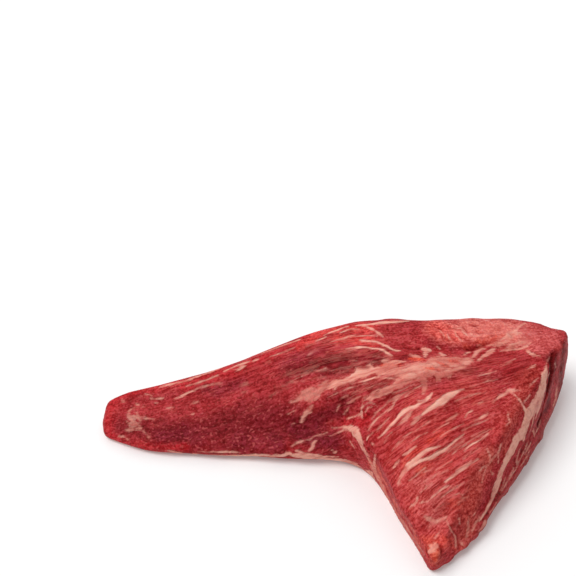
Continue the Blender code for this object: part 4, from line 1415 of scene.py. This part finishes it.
height = times(streak, ramp(fat_share, 0.0, 1.0, 1.0, BUMP_UNDER_FAT))
height = times(height, ramp(fibrous_at, *BUMP_ON_FIBRES))
height = less(height, times(pit, PIT_DEPTH))
height = plus(height, times(fat_share, FAT_STANDS))
height = less(height, times(crevice, CREVICE_DEPTH))
bump = tree.nodes.new("ShaderNodeBump")
wire(bump.inputs["Height"], height)
wire(bump.inputs["Strength"], 1.0)
wire(bump.inputs["Distance"], BUMP_HEIGHT)

roughness = plus(ramp(crumb, *DAMP), times(fat_share, FAT_DULLER))
granular_dull = times(ramp(fibrous_at, *GRANULAR_DULLER), ramp(contrast, *NOT_UNDER_FILM))
roughness = plus(roughness, granular_dull)

shader = tree.nodes.new("ShaderNodeBsdfPrincipled")
wire(shader.inputs["Base Color"], surface_colour)
wire(shader.inputs["Roughness"], roughness)
wire(shader.inputs["Normal"], bump.outputs[0])
shader.inputs["IOR"].default_value = 1.38
shader.inputs["Specular IOR Level"].default_value = 0.08
shader.inputs["Subsurface Weight"].default_value = 0.15
shader.inputs["Subsurface Radius"].default_value = (1.0, 0.25, 0.12)
shader.inputs["Subsurface Scale"].default_value = 0.0012
output = tree.nodes.new("ShaderNodeOutputMaterial")
tree.links.new(shader.outputs[0], output.inputs[0])

meat.data.materials.clear()
meat.data.materials.append(beef)
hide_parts("tri_tip")
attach(meat, "root")

# The table and the light. A plain pale table, which glows a little to keep the shadows on it faint. A
# broad sun stands high at the left, a weaker and broader one high at the back, in a plain white room.
TABLE_SIZE = 40.0
TABLE_PALE = (0.82, 0.82, 0.82, 1.0)
TABLE_ROUGHNESS = 0.7
TABLE_GLOW = 0.14
PURE_WHITE = (1.0, 1.0, 1.0, 1.0)
LEFT_LIGHT = {"towards": (0.45, 0.10, -1.0), "strength": 2.05, "spread": 35}
BACK_LIGHT = {"towards": (0.0, -0.75, -0.7), "strength": 0.9, "spread": 75}
ROOM_LIGHT = 0.32

bpy.ops.mesh.primitive_plane_add(size=TABLE_SIZE)
floor = bpy.context.object
floor.name = "floor"
pale_table = bpy.data.materials.new("pale_table")
pale_table.use_nodes = True
table_finish = pale_table.node_tree.nodes["Principled BSDF"].inputs
table_finish["Base Color"].default_value = TABLE_PALE
table_finish["Roughness"].default_value = TABLE_ROUGHNESS
table_finish["Emission Color"].default_value = PURE_WHITE
table_finish["Emission Strength"].default_value = TABLE_GLOW
floor.data.materials.append(pale_table)


def soft_sun(name, towards, strength, spread):
    light = bpy.data.lights.new(name, "SUN")
    light.energy = strength
    light.angle = math.radians(spread)
    lamp = bpy.data.objects.new(name, light)
    lamp.rotation_mode = "QUATERNION"
    lamp.rotation_quaternion = Vector(towards).to_track_quat("-Z", "Y")
    bpy.context.scene.collection.objects.link(lamp)


soft_sun("key", **LEFT_LIGHT)
soft_sun("fill", **BACK_LIGHT)
room = bpy.data.worlds.new("room")
room.use_nodes = True
room.node_tree.nodes["Background"].inputs["Color"].default_value = PURE_WHITE
room.node_tree.nodes["Background"].inputs["Strength"].default_value = ROOM_LIGHT
bpy.context.scene.world = room
bpy.context.scene.view_settings.view_transform = "Standard"
